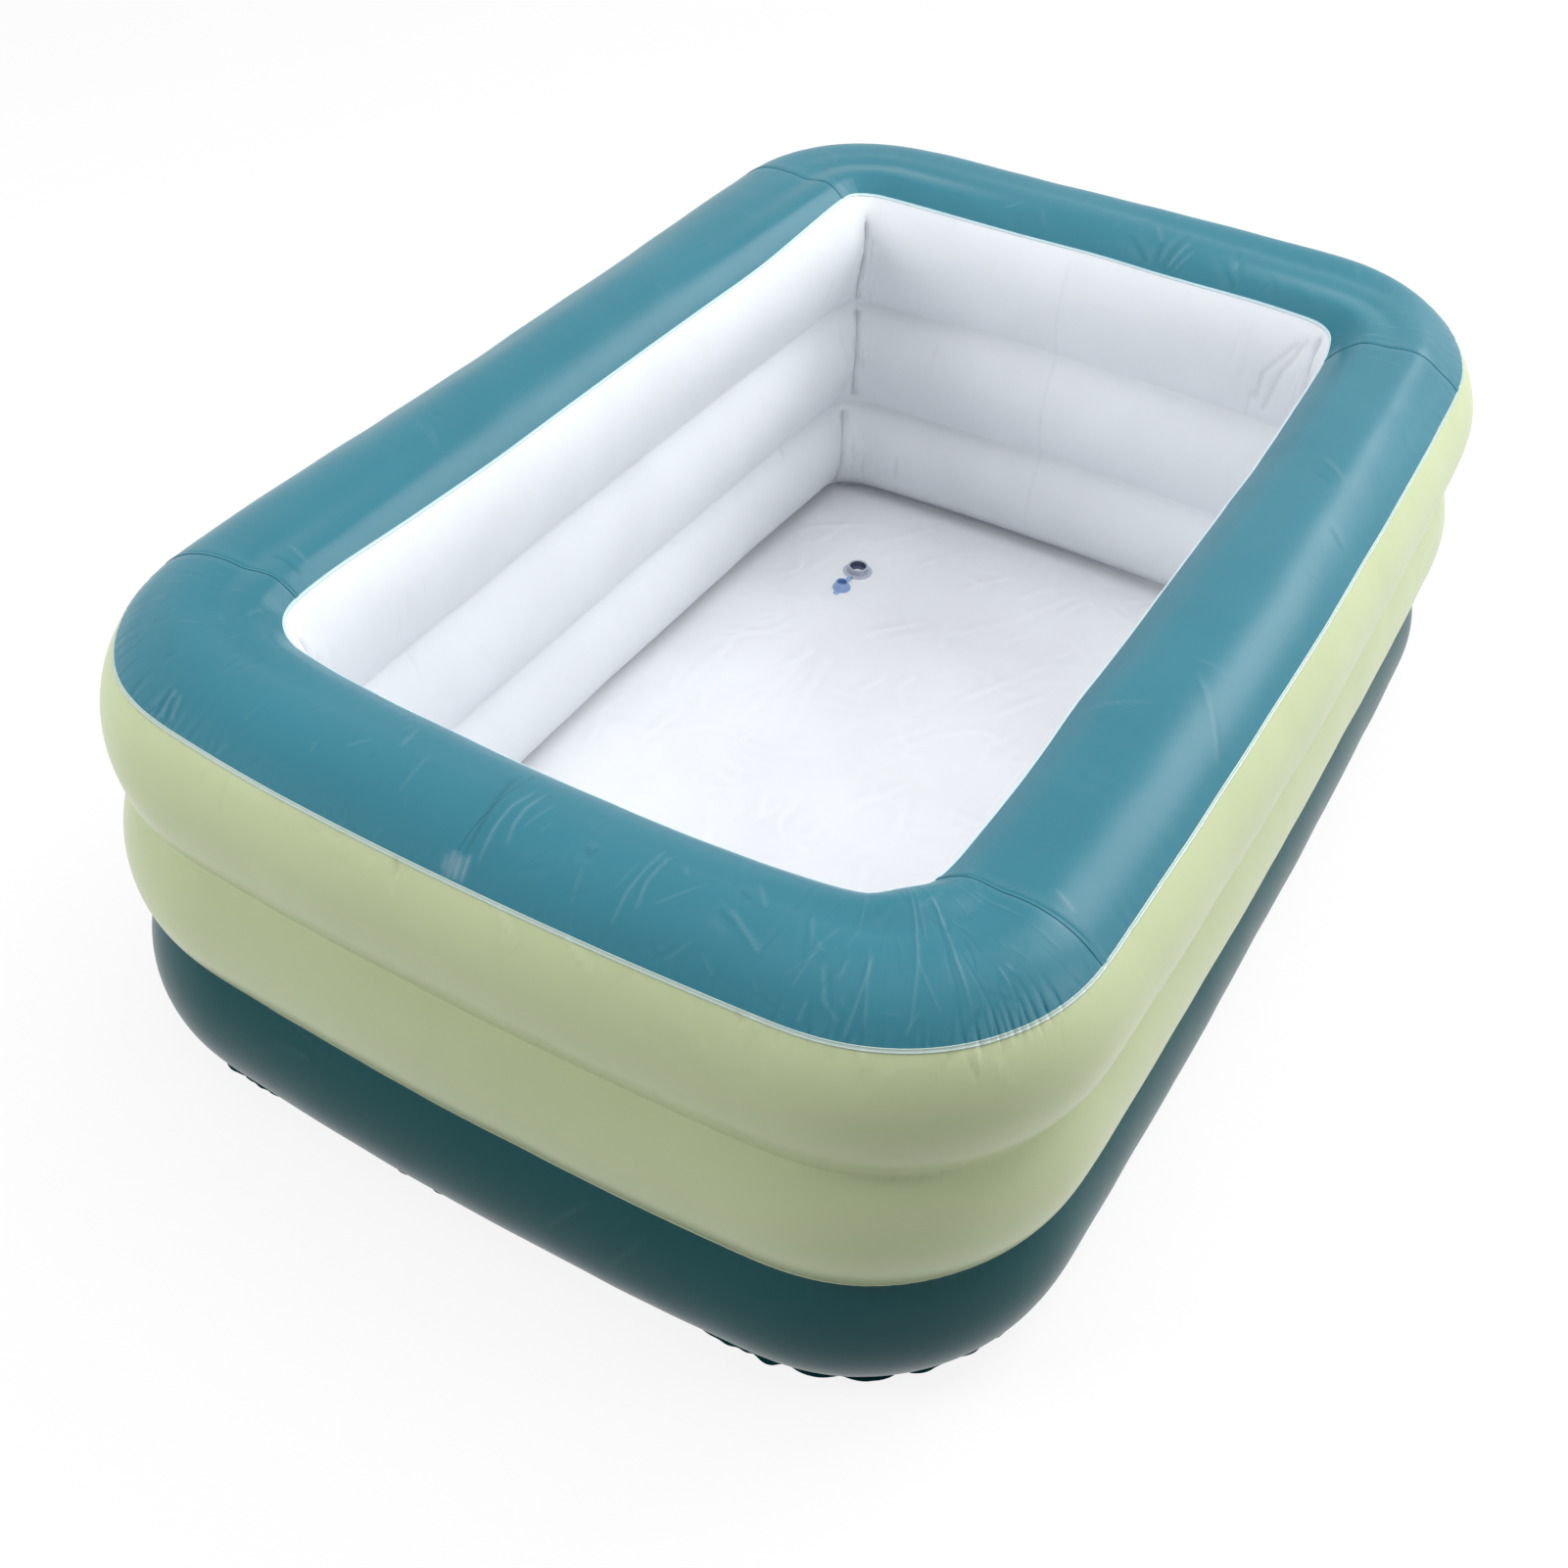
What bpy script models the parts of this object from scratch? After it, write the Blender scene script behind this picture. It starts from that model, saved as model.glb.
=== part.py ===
"""Rectangular inflatable family pool with three stacked air rings.

The wall is made of thin vinyl film: two outer walls, one inner wall, two level webs that part
the air rings, four top panels and one floor sheet. Three inflation valves sit in the back outer
wall, one per ring, and a drain with a strapped plug sits in the floor.
Metres, +Z up. The origin is under the pool's centre, at the floor. X runs across the pool, Y along it.
"""
import math

import bmesh
import bpy
from mathutils import Matrix

MM = 0.001

# The pool as a whole
POOL_LENGTH = 2100 * MM
POOL_WIDTH = 1430 * MM
POOL_HEIGHT = 650 * MM
LONG_SIDE_BOW = 10 * MM
SHORT_SIDE_BOW = 14 * MM
CORNER_RADIUS = 172 * MM  # of the wall's middle line
FILM = 0.4 * MM
GAP = 0.3 * MM  # between pieces that touch or are welded

# The air rings, bottom to top
LOWER_RING_HEIGHT = 200 * MM
MIDDLE_RING_HEIGHT = 210 * MM
UPPER_CREST_SHARE = 0.4375  # of the top ring's height, from the upper web to its widest level
WEB_WIDTH = 207 * MM
RING_BULGE = 33 * MM
WELD_LAND = 5 * MM  # half the height of the flat band where a web is welded
VALVE_LAND = 22 * MM  # half the height of the flat band at a ring's crest
OUTER_SEAM_ANGLE = math.radians(46)
INNER_SEAM_ANGLE = math.radians(45)
SEAM_LAP = 6 * MM

# The bottom edge
OUTER_FOOT_INSET = 8 * MM  # from the valley above it
OUTER_SKIRT = 24 * MM
INNER_FOOT_INSET = 20 * MM
INNER_SKIRT = 10 * MM

# The drain in the floor
DRAIN_X = -277 * MM
DRAIN_Y = 537 * MM
DRAIN_FLANGE_RADIUS = 28 * MM
DRAIN_FLANGE_THICKNESS = 1.0 * MM
DRAIN_COLLAR_RADIUS = 19.5 * MM
DRAIN_COLLAR_FLARE = 1.5 * MM
DRAIN_COLLAR_HEIGHT = 13 * MM
DRAIN_BORE_RADIUS = 15.5 * MM
DRAIN_OUTLET_RADIUS = 8 * MM
DRAIN_FLOOR_THICKNESS = 1.5 * MM
PLUG_FIT = 0.6 * MM
PLUG_TIP_RADIUS = 11.5 * MM
PLUG_NOSE_LENGTH = 11 * MM
PLUG_WALL = 2.0 * MM
PLUG_LID_RADIUS = 17.0 * MM
PLUG_LID_THICKNESS = 2.5 * MM
PLUG_TAB_LENGTH = 8 * MM
PLUG_TAB_WIDTH = 10 * MM
PLUG_TAB_THICKNESS = 1.6 * MM
PLUG_REACH = 64 * MM  # from the drain's centre to the plug lying open
DRAIN_STRAP_WIDTH = 8 * MM
DRAIN_STRAP_THICKNESS = 1.2 * MM
STRAP_KNUCKLE = 1.5 * MM  # level stretch on each side of the strap's fold
STRAP_ROOT = 3 * MM  # how far a strap runs into the piece that carries it

# The inflation valves, one in each ring
VALVE_FLANGE_RADIUS = 17 * MM
VALVE_FLANGE_THICKNESS = 1.0 * MM
VALVE_NECK_RADIUS = 8.2 * MM
VALVE_BORE_RADIUS = 6.4 * MM
VALVE_NECK_OUTSIDE = 5 * MM
VALVE_NECK_INSIDE = 18 * MM
STOPPER_FIT = 0.3 * MM
STOPPER_LID_RADIUS = 8.8 * MM
STOPPER_LID_THICKNESS = 1.4 * MM
STOPPER_NOSE_LENGTH = 7 * MM
STOPPER_TIP_RADIUS = 4.6 * MM
STOPPER_WALL = 1.4 * MM
STOPPER_TAB_LENGTH = 5 * MM
STOPPER_TAB_WIDTH = 6 * MM
STOPPER_HINGE_RADIUS = 14 * MM  # from the bore's axis to the strap's fold
STOPPER_STRAP_WIDTH = 5 * MM
STOPPER_STRAP_THICKNESS = 1.0 * MM
FLAP_RADIUS = 7.8 * MM
FLAP_THICKNESS = 0.8 * MM
FLAP_HINGE_RADIUS = 9.6 * MM
FLAP_TAB_WIDTH = 6 * MM
FLAP_LUG_HEIGHT = 1.6 * MM
FLAP_LUG_LENGTH = 2.5 * MM

# Facets
CORNER_STEPS = 6
SIDE_STEPS = 3
BULGE_STEPS = 5
ARCH_STEPS = 8
ROUND_STEPS = 24
OVERRUN = 2 * MM

# Colours, as linear red, green, blue
TEAL = (0.058, 0.235, 0.304)
LIGHT_GREEN = (0.558, 0.638, 0.354)
DARK_GREEN = (0.010, 0.072, 0.078)
WHITE = (0.790, 0.805, 0.815)
CLEAR_BLUE = (0.48, 0.66, 0.95)
CLEAR = (0.70, 0.80, 0.90)

# Worked out from the sizes above
VALLEY = WEB_WIDTH / 2
CREST = VALLEY + RING_BULGE
LOWER_WEB_Z = LOWER_RING_HEIGHT
UPPER_WEB_Z = LOWER_WEB_Z + MIDDLE_RING_HEIGHT
UPPER_RING_HEIGHT = POOL_HEIGHT - UPPER_WEB_Z
UPPER_CREST_RISE = UPPER_RING_HEIGHT * UPPER_CREST_SHARE
UPPER_CREST_Z = UPPER_WEB_Z + UPPER_CREST_RISE
FLOOR_TOP = FILM
ON_FLOOR = FLOOR_TOP + GAP
LINE_X = POOL_WIDTH / 2 - LONG_SIDE_BOW - CREST
LINE_Y = POOL_LENGTH / 2 - SHORT_SIDE_BOW - CREST
STACK = FILM + GAP  # from one film's middle to the next one's, where two lie together


def colour_material(name, colour, roughness, alpha=1.0):
    material = bpy.data.materials.new(name)
    material.use_nodes = True
    shader = material.node_tree.nodes["Principled BSDF"]
    shader.inputs["Base Color"].default_value = (*colour, 1.0)
    shader.inputs["Roughness"].default_value = roughness
    shader.inputs["Metallic"].default_value = 0.0
    shader.inputs["Alpha"].default_value = alpha
    return material


def finish_object(name, bm, material):
    """Make a named object of a closed mesh, with its faces pointing out."""
    bmesh.ops.recalc_face_normals(bm, faces=bm.faces)
    mesh = bpy.data.meshes.new(name)
    bm.to_mesh(mesh)
    bm.free()
    piece = bpy.data.objects.new(name, mesh)
    bpy.context.scene.collection.objects.link(piece)
    piece.data.materials.append(material)
    mesh.shade_smooth()
    mesh.set_sharp_from_angle(angle=math.radians(35))
    return piece


def add_boolean(piece, other, operation):
    modifier = piece.modifiers.new(other.name, "BOOLEAN")
    modifier.operation = operation
    modifier.object = other
    modifier.solver = "EXACT"
    other.hide_render = True
    other.display_type = "WIRE"


# Stations: places along the wall's middle line, where a section of film stands

def side_station(side, share):
    """A place on one of the four straight sides, from -1 at its start to 1 at its end."""
    return ("side", side, share)


def corner_station(corner, share):
    """A place on the rounded corner that follows a side, from 0 to 1."""
    return ("corner", corner, share)


def station_point(station, offset):
    """Plan position at a station, moved outwards from the middle line by offset."""
    kind, index, share = station
    long_side = index % 2 == 0
    half_x = (LINE_X if long_side else LINE_Y) + offset
    half_y = (LINE_Y if long_side else LINE_X) - CORNER_RADIUS
    if kind == "side":
        bow = LONG_SIDE_BOW if long_side else SHORT_SIDE_BOW
        x = half_x + bow * (1 - share * share)
        y = share * half_y
    else:
        turn = share * math.pi / 2
        x = half_x - offset - CORNER_RADIUS + (CORNER_RADIUS + offset) * math.cos(turn)
        y = half_y + (CORNER_RADIUS + offset) * math.sin(turn)
    quarter = index * math.pi / 2
    return (
        x * math.cos(quarter) - y * math.sin(quarter),
        x * math.sin(quarter) + y * math.cos(quarter),
    )


def corner_stations(corner):
    return [corner_station(corner, step / CORNER_STEPS) for step in range(CORNER_STEPS + 1)]


def side_stations(side):
    return [side_station(side, 2 * step / SIDE_STEPS - 1) for step in range(1, SIDE_STEPS)]


def all_stations():
    """Right, back, left and front side, each with the corner that follows it."""
    stations = []
    for quarter in range(4):
        stations += side_stations(quarter) + corner_stations(quarter)
    return stations


def film_section(line, thickness=FILM):
    """Closed outline of a film whose middle follows a line of (offset, z) points."""
    left = []
    right = []
    for index, (offset, z) in enumerate(line):
        before = line[max(index - 1, 0)]
        after = line[min(index + 1, len(line) - 1)]
        normals = []
        for start, end in ((before, (offset, z)), ((offset, z), after)):
            run = math.dist(start, end)
            if run > 0:
                normals.append(((start[1] - end[1]) / run, (end[0] - start[0]) / run))
        normal = [sum(part) / len(normals) for part in zip(*normals)]
        stretch = thickness / 2 / (normal[0] ** 2 + normal[1] ** 2)
        left.append((offset + normal[0] * stretch, z + normal[1] * stretch))
        right.append((offset - normal[0] * stretch, z - normal[1] * stretch))
    return left + right[::-1]


def sweep_film(name, line, material, stations=None):
    """Carry a film's section round the pool, or from one station to another."""
    closed = stations is None
    if closed:
        stations = all_stations()
    section = film_section(line)
    bm = bmesh.new()
    rings = []
    for station in stations:
        ring = []
        for offset, z in section:
            x, y = station_point(station, offset)
            ring.append(bm.verts.new((x, y, z)))
        rings.append(ring)
    pairs = list(zip(rings, rings[1:]))
    if closed:
        pairs.append((rings[-1], rings[0]))
    for near, far in pairs:
        for index in range(len(section)):
            after = (index + 1) % len(section)
            bm.faces.new((near[index], near[after], far[after], far[index]))
    if not closed:
        bottom_up = len(section) // 2
        for ring in (rings[0], rings[-1]):
            for index in range(bottom_up - 1):
                across = len(section) - 1 - index
                bm.faces.new((ring[index], ring[index + 1], ring[across - 1], ring[across]))
    return finish_object(name, bm, material)


# Lines of film, each a list of (offset, z) points

def bulge_radius(half, depth):
    return (half * half + depth * depth) / (2 * depth)


def bulge_line(low_z, high_z, low_offset, high_offset, side):
    """One ring's wall between two welds, as a bulge with a flat band at its crest."""
    middle = (low_z + high_z) / 2
    half = (high_z - low_z) / 2
    steps = BULGE_STEPS // 2
    arcs = []
    for offset_end, way in ((low_offset, -1), (high_offset, 1)):
        radius = bulge_radius(half, CREST - offset_end)
        full = math.asin(half / radius)
        flat = math.asin(VALVE_LAND / radius)
        arc = []
        for step in range(steps + 1):
            angle = flat + (full - flat) * step / steps
            arc.append((CREST - radius * (1 - math.cos(angle)), middle + way * radius * math.sin(angle)))
        arcs.append(arc)
    band = min(arcs[0][0][0], arcs[1][0][0])
    lower = [(band, arcs[0][0][1])] + arcs[0][1:]
    upper = [(band, arcs[1][0][1])] + arcs[1][1:]
    return [(side * offset, z) for offset, z in lower[::-1] + upper]


def arch_radius_up():
    return POOL_HEIGHT - FILM / 2 - UPPER_CREST_Z


def arch_point(angle, side, lift):
    """A point on the top ring's upper half, lifted clear of the wall film under it."""
    across = (CREST + lift) * math.cos(angle)
    up = (arch_radius_up() - STACK + lift) * math.sin(angle)
    return (side * across, UPPER_CREST_Z + up)


def top_panel_step():
    return (math.pi - INNER_SEAM_ANGLE - OUTER_SEAM_ANGLE) / ARCH_STEPS


def upper_ring_wall(side, seam_angle):
    """The top ring's wall, from the upper web to its lap under the top panel."""
    low = UPPER_WEB_Z + WELD_LAND
    high = 2 * UPPER_CREST_Z - low
    lower_half = [
        point for point in bulge_line(low, high, VALLEY, VALLEY, side) if point[1] < UPPER_CREST_Z
    ]
    start = math.asin(VALVE_LAND / (arch_radius_up() - STACK))
    steps = BULGE_STEPS // 2 + 1
    upper_half = []
    for step in range(steps + 1):
        angle = start + (seam_angle - start) * step / steps
        upper_half.append(arch_point(angle, side, 0))
    upper_half[0] = (lower_half[-1][0], upper_half[0][1])
    seam = upper_half[-1]
    next_fold = arch_point(seam_angle + top_panel_step(), side, 0)
    share = SEAM_LAP / math.dist(seam, next_fold)
    lap_end = tuple(near + (far - near) * share for near, far in zip(seam, next_fold))
    return lower_half + upper_half + [lap_end]


def foot_line(side, foot_inset, skirt):
    """The bottom ring's wall, from its skirt on the floor sheet to the lower web."""
    floor_z = ON_FLOOR + FILM / 2
    foot = VALLEY - foot_inset
    skirt_end = foot + skirt
    wall = bulge_line(floor_z, LOWER_WEB_Z - WELD_LAND, foot, VALLEY, 1)
    return [(side * offset, z) for offset, z in [(skirt_end, floor_z)] + wall]


def middle_ring_wall(side):
    return bulge_line(LOWER_WEB_Z + WELD_LAND, UPPER_WEB_Z - WELD_LAND, VALLEY, VALLEY, side)


def make_outer_walls(light, dark):
    split = LOWER_WEB_Z + WELD_LAND
    lower = foot_line(1, OUTER_FOOT_INSET, OUTER_SKIRT)
    lower_wall = sweep_film("lower_outer_wall", lower + [(VALLEY, split - GAP)], dark)
    upper = middle_ring_wall(1) + upper_ring_wall(1, OUTER_SEAM_ANGLE)
    upper_wall = sweep_film("upper_outer_wall", upper, light)
    return lower_wall, upper_wall


def make_inner_wall(white):
    line = foot_line(-1, INNER_FOOT_INSET, INNER_SKIRT)
    line = line + middle_ring_wall(-1) + upper_ring_wall(-1, INNER_SEAM_ANGLE)
    return sweep_film("inner_wall", line, white)


def make_web(name, z, white):
    """A level film between two rings, with its edges turned up along the walls."""
    reach = VALLEY - STACK
    top = z + WELD_LAND
    return sweep_film(name, [(reach, top), (reach, z), (-reach, z), (-reach, top)], white)


def make_top_panels(teal):
    line = []
    for step in range(ARCH_STEPS + 1):
        line.append(arch_point(OUTER_SEAM_ANGLE + step * top_panel_step(), 1, STACK))
    half_side = LINE_Y - CORNER_RADIUS
    edge = 1 - GAP / half_side
    for name, side in (("right_top_panel", 0), ("left_top_panel", 2)):
        stations = [side_station(side, -edge)] + side_stations(side) + [side_station(side, edge)]
        sweep_film(name, line, teal, stations)
    for name, side in (("back_top_panel", 1), ("front_top_panel", 3)):
        stations = corner_stations(side - 1) + side_stations(side) + corner_stations(side)
        sweep_film(name, line, teal, stations)


# Turned, flat and cut shapes

def turned_mesh(profile):
    """Spin a profile of (radius, height) points round Z. One that starts and ends on the axis
    is closed there, and any other is joined end to start."""
    bm = bmesh.new()
    on_axis = profile[0][0] == 0
    poles = {}
    rings = []
    for step in range(ROUND_STEPS):
        turn = 2 * math.pi * step / ROUND_STEPS
        ring = []
        for index, (radius, height) in enumerate(profile):
            if radius > 0:
                place = (radius * math.cos(turn), radius * math.sin(turn), height)
                ring.append(bm.verts.new(place))
            else:
                if index not in poles:
                    poles[index] = bm.verts.new((0, 0, height))
                ring.append(poles[index])
        rings.append(ring)
    spans = len(profile) - 1 if on_axis else len(profile)
    for near, far in zip(rings, rings[1:] + rings[:1]):
        for index in range(spans):
            after = (index + 1) % len(profile)
            corners = [near[index], near[after], far[after], far[index]]
            bm.faces.new(list(dict.fromkeys(corners)))
    return bm


def turned_piece(name, profile, material, place, axis="Z"):
    """A turned piece whose profile's heights run along +Z or +Y from its place."""
    bm = turned_mesh(profile)
    if axis == "Y":
        bm.transform(Matrix.Rotation(-math.pi / 2, 4, "X"))
    bm.transform(Matrix.Translation(place))
    return finish_object(name, bm, material)


def ribbon_piece(name, line, thickness, width, x, material):
    """A strap of one width, centred on x, whose middle follows a line of (y, z) points."""
    section = film_section(line, thickness)
    bm = bmesh.new()
    sides = []
    for edge in (x - width / 2, x + width / 2):
        sides.append([bm.verts.new((edge, y, z)) for y, z in section])
    near, far = sides
    for index in range(len(section)):
        after = (index + 1) % len(section)
        bm.faces.new((near[index], near[after], far[after], far[index]))
    for side in sides:
        bm.faces.new(side)
    return finish_object(name, bm, material)


def set_origin(piece, place):
    """Put a moving piece's origin on its joint's axis, and leave its mesh where it is."""
    piece.data.transform(Matrix.Translation([-part for part in place]))
    piece.location = place


def cut_round_hole(piece, name, radius, place, axis, depth):
    profile = [(0, -depth), (radius, -depth), (radius, depth), (0, depth)]
    cutter = turned_piece(name, profile, piece.data.materials[0], place, axis)
    add_boolean(piece, cutter, "DIFFERENCE")


def make_floor_sheet(white):
    edge = VALLEY - OUTER_FOOT_INSET + OUTER_SKIRT
    bm = bmesh.new()
    rim = []
    for station in all_stations():
        x, y = station_point(station, edge)
        rim.append(bm.verts.new((x, y, 0)))
    sheet = bm.faces.new(rim)
    raised = bmesh.ops.extrude_face_region(bm, geom=[sheet])
    top = [part for part in raised["geom"] if isinstance(part, bmesh.types.BMVert)]
    bmesh.ops.translate(bm, verts=top, vec=(0, 0, FLOOR_TOP))
    floor = finish_object("floor_sheet", bm, white)
    place = (DRAIN_X, DRAIN_Y, 0)
    cut_round_hole(floor, "floor_outlet_cut", DRAIN_OUTLET_RADIUS + GAP, place, "Z", OVERRUN)


def make_drain(clear, blue):
    """A collared drain on the floor sheet, and its plug lying open beside it, upside down."""
    base = ON_FLOOR
    rim = base + DRAIN_COLLAR_HEIGHT
    bottom = base + DRAIN_FLOOR_THICKNESS
    flange = base + DRAIN_FLANGE_THICKNESS
    profile = [
        (DRAIN_OUTLET_RADIUS, base),
        (DRAIN_FLANGE_RADIUS, base),
        (DRAIN_FLANGE_RADIUS, flange),
        (DRAIN_COLLAR_RADIUS + DRAIN_COLLAR_FLARE, flange),
        (DRAIN_COLLAR_RADIUS, rim),
        (DRAIN_BORE_RADIUS, rim),
        (DRAIN_BORE_RADIUS, bottom),
        (DRAIN_OUTLET_RADIUS, bottom),
    ]
    body = turned_piece("drain_body", profile, clear, (DRAIN_X, DRAIN_Y, 0))
    lid_low = base
    lid_high = lid_low + PLUG_LID_THICKNESS
    hinge_y = DRAIN_Y - PLUG_REACH / 2
    hinge_z = (rim + GAP + lid_high) / 2
    plug_y = DRAIN_Y - PLUG_REACH
    half_strap = DRAIN_STRAP_THICKNESS / 2
    knuckle_z = hinge_z - half_strap - GAP / 2
    flange_edge = DRAIN_Y - DRAIN_FLANGE_RADIUS
    line = [
        (flange_edge + STRAP_ROOT, base + half_strap),
        (flange_edge, base + half_strap),
        (hinge_y + STRAP_KNUCKLE, knuckle_z),
        (hinge_y + GAP / 2, knuckle_z),
    ]
    width = DRAIN_STRAP_WIDTH
    strap = ribbon_piece("drain_strap_half", line, DRAIN_STRAP_THICKNESS, width, DRAIN_X, clear)
    add_boolean(body, strap, "UNION")
    nose_high = lid_high + PLUG_NOSE_LENGTH
    profile = [
        (0, lid_low),
        (PLUG_LID_RADIUS, lid_low),
        (PLUG_LID_RADIUS, lid_high),
        (DRAIN_BORE_RADIUS - PLUG_FIT, lid_high),
        (PLUG_TIP_RADIUS, nose_high),
        (PLUG_TIP_RADIUS - PLUG_WALL, nose_high),
        (DRAIN_BORE_RADIUS - PLUG_FIT - PLUG_WALL, lid_high),
        (0, lid_high),
    ]
    plug = turned_piece("drain_plug", profile, blue, (DRAIN_X, plug_y, 0))
    lid_edge = plug_y + PLUG_LID_RADIUS
    line = [
        (lid_edge - STRAP_ROOT, lid_low + half_strap),
        (lid_edge, lid_low + half_strap),
        (hinge_y - STRAP_KNUCKLE, knuckle_z),
        (hinge_y - GAP / 2, knuckle_z),
    ]
    strap = ribbon_piece("plug_strap_half", line, DRAIN_STRAP_THICKNESS, width, DRAIN_X, blue)
    add_boolean(plug, strap, "UNION")
    far_edge = plug_y - PLUG_LID_RADIUS
    tab_z = lid_low + PLUG_TAB_THICKNESS / 2
    line = [(far_edge + STRAP_ROOT, tab_z), (far_edge - PLUG_TAB_LENGTH, tab_z)]
    tab = ribbon_piece("plug_tab", line, PLUG_TAB_THICKNESS, PLUG_TAB_WIDTH, DRAIN_X, blue)
    add_boolean(plug, tab, "UNION")
    set_origin(plug, (DRAIN_X, hinge_y, hinge_z))


def valve_levels():
    """Each valve's name, its wall and the middle of the flat band that it sits in."""
    lower = (ON_FLOOR + FILM / 2 + LOWER_WEB_Z - WELD_LAND) / 2
    middle = (LOWER_WEB_Z + UPPER_WEB_Z) / 2
    return (
        ("lower", "lower_outer_wall", lower),
        ("middle", "upper_outer_wall", middle),
        ("upper", "upper_outer_wall", UPPER_CREST_Z),
    )


def band_offset(z):
    """Offset of the outer wall film's middle in the flat band at a level."""
    lines = [foot_line(1, OUTER_FOOT_INSET, OUTER_SKIRT)]
    lines.append(middle_ring_wall(1))
    lines.append(upper_ring_wall(1, OUTER_SEAM_ANGLE))
    points = [point for line in lines for point in line]
    return min(points, key=lambda point: abs(abs(point[1] - z) - VALVE_LAND))[0]


def make_valve(level, wall, z, clear, blue, film):
    """A valve's body, its strapped stopper and the check flap on its inner end."""
    middle_share = 1 / SIDE_STEPS
    wall_y = station_point(side_station(1, middle_share), band_offset(z))[1]
    place = (0, wall_y, z)
    cut_round_hole(wall, f"{level}_valve_cut", VALVE_NECK_RADIUS + GAP, place, "Y", OVERRUN)
    flange_out = -FILM / 2 - GAP
    flange_in = flange_out - VALVE_FLANGE_THICKNESS
    rim = FILM / 2 + VALVE_NECK_OUTSIDE
    end = -FILM / 2 - VALVE_NECK_INSIDE
    profile = [
        (VALVE_BORE_RADIUS, end),
        (VALVE_NECK_RADIUS, end),
        (VALVE_NECK_RADIUS, flange_in),
        (VALVE_FLANGE_RADIUS, flange_in),
        (VALVE_FLANGE_RADIUS, flange_out),
        (VALVE_NECK_RADIUS, flange_out),
        (VALVE_NECK_RADIUS, rim),
        (VALVE_BORE_RADIUS, rim),
    ]
    body = turned_piece(f"{level}_valve_body", profile, clear, place, "Y")
    strap_z = z + STOPPER_HINGE_RADIUS
    half_strap = STOPPER_STRAP_THICKNESS / 2
    strap_y = wall_y + rim - half_strap
    line = [(strap_y, z + VALVE_NECK_RADIUS - GAP), (strap_y, strap_z - GAP / 2)]
    width = STOPPER_STRAP_WIDTH
    strap = ribbon_piece(f"{level}_neck_strap", line, STOPPER_STRAP_THICKNESS, width, 0, clear)
    add_boolean(body, strap, "UNION")

    flap_z = z + FLAP_HINGE_RADIUS
    flap_out = end - GAP
    flap_in = flap_out - FLAP_THICKNESS
    flap_y = wall_y + (flap_out + flap_in) / 2
    lug_low = flap_z + FLAP_THICKNESS
    lug_high = lug_low + FLAP_LUG_HEIGHT
    line = [
        (wall_y + end + FLAP_LUG_LENGTH, (z + VALVE_NECK_RADIUS - GAP + lug_high) / 2),
        (wall_y + end, (z + VALVE_NECK_RADIUS - GAP + lug_high) / 2),
    ]
    tall = lug_high - z - VALVE_NECK_RADIUS + GAP
    lug = ribbon_piece(f"{level}_flap_lug", line, tall, FLAP_TAB_WIDTH, 0, clear)
    add_boolean(body, lug, "UNION")
    line = [(wall_y + end + GAP, (lug_low + lug_high) / 2), (wall_y + flap_in, (lug_low + lug_high) / 2)]
    finger = ribbon_piece(f"{level}_flap_finger", line, FLAP_LUG_HEIGHT, FLAP_TAB_WIDTH, 0, clear)
    add_boolean(body, finger, "UNION")
    profile = [(0, flap_in), (FLAP_RADIUS, flap_in), (FLAP_RADIUS, flap_out), (0, flap_out)]
    flap = turned_piece(f"{level}_check_flap", profile, film, place, "Y")
    line = [(flap_y, z + FLAP_RADIUS / 2), (flap_y, flap_z - GAP)]
    tab = ribbon_piece(f"{level}_flap_tab", line, FLAP_THICKNESS, FLAP_TAB_WIDTH, 0, film)
    add_boolean(flap, tab, "UNION")
    set_origin(flap, (0, flap_y, flap_z))

    lid_in = rim + GAP
    lid_out = lid_in + STOPPER_LID_THICKNESS
    nose_radius = VALVE_BORE_RADIUS - STOPPER_FIT
    tip = rim - STOPPER_NOSE_LENGTH
    profile = [
        (0, lid_out),
        (STOPPER_LID_RADIUS, lid_out),
        (STOPPER_LID_RADIUS, lid_in),
        (nose_radius, lid_in),
        (STOPPER_TIP_RADIUS, tip),
        (STOPPER_TIP_RADIUS - STOPPER_WALL, tip),
        (nose_radius - STOPPER_WALL, lid_in),
        (0, lid_in),
    ]
    stopper = turned_piece(f"{level}_valve_stopper", profile, blue, place, "Y")
    strap_y = wall_y + lid_in + half_strap
    line = [(strap_y, z + STOPPER_LID_RADIUS - STOPPER_WALL), (strap_y, strap_z - GAP / 2)]
    strap = ribbon_piece(f"{level}_stopper_strap", line, STOPPER_STRAP_THICKNESS, width, 0, blue)
    add_boolean(stopper, strap, "UNION")
    tab_end = z - STOPPER_LID_RADIUS - STOPPER_TAB_LENGTH
    line = [(strap_y, z - STOPPER_LID_RADIUS + STOPPER_WALL), (strap_y, tab_end)]
    tab = ribbon_piece(f"{level}_stopper_tab", line, STOPPER_STRAP_THICKNESS, STOPPER_TAB_WIDTH, 0, blue)
    add_boolean(stopper, tab, "UNION")
    set_origin(stopper, (0, wall_y + rim + GAP / 2, strap_z))


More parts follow.
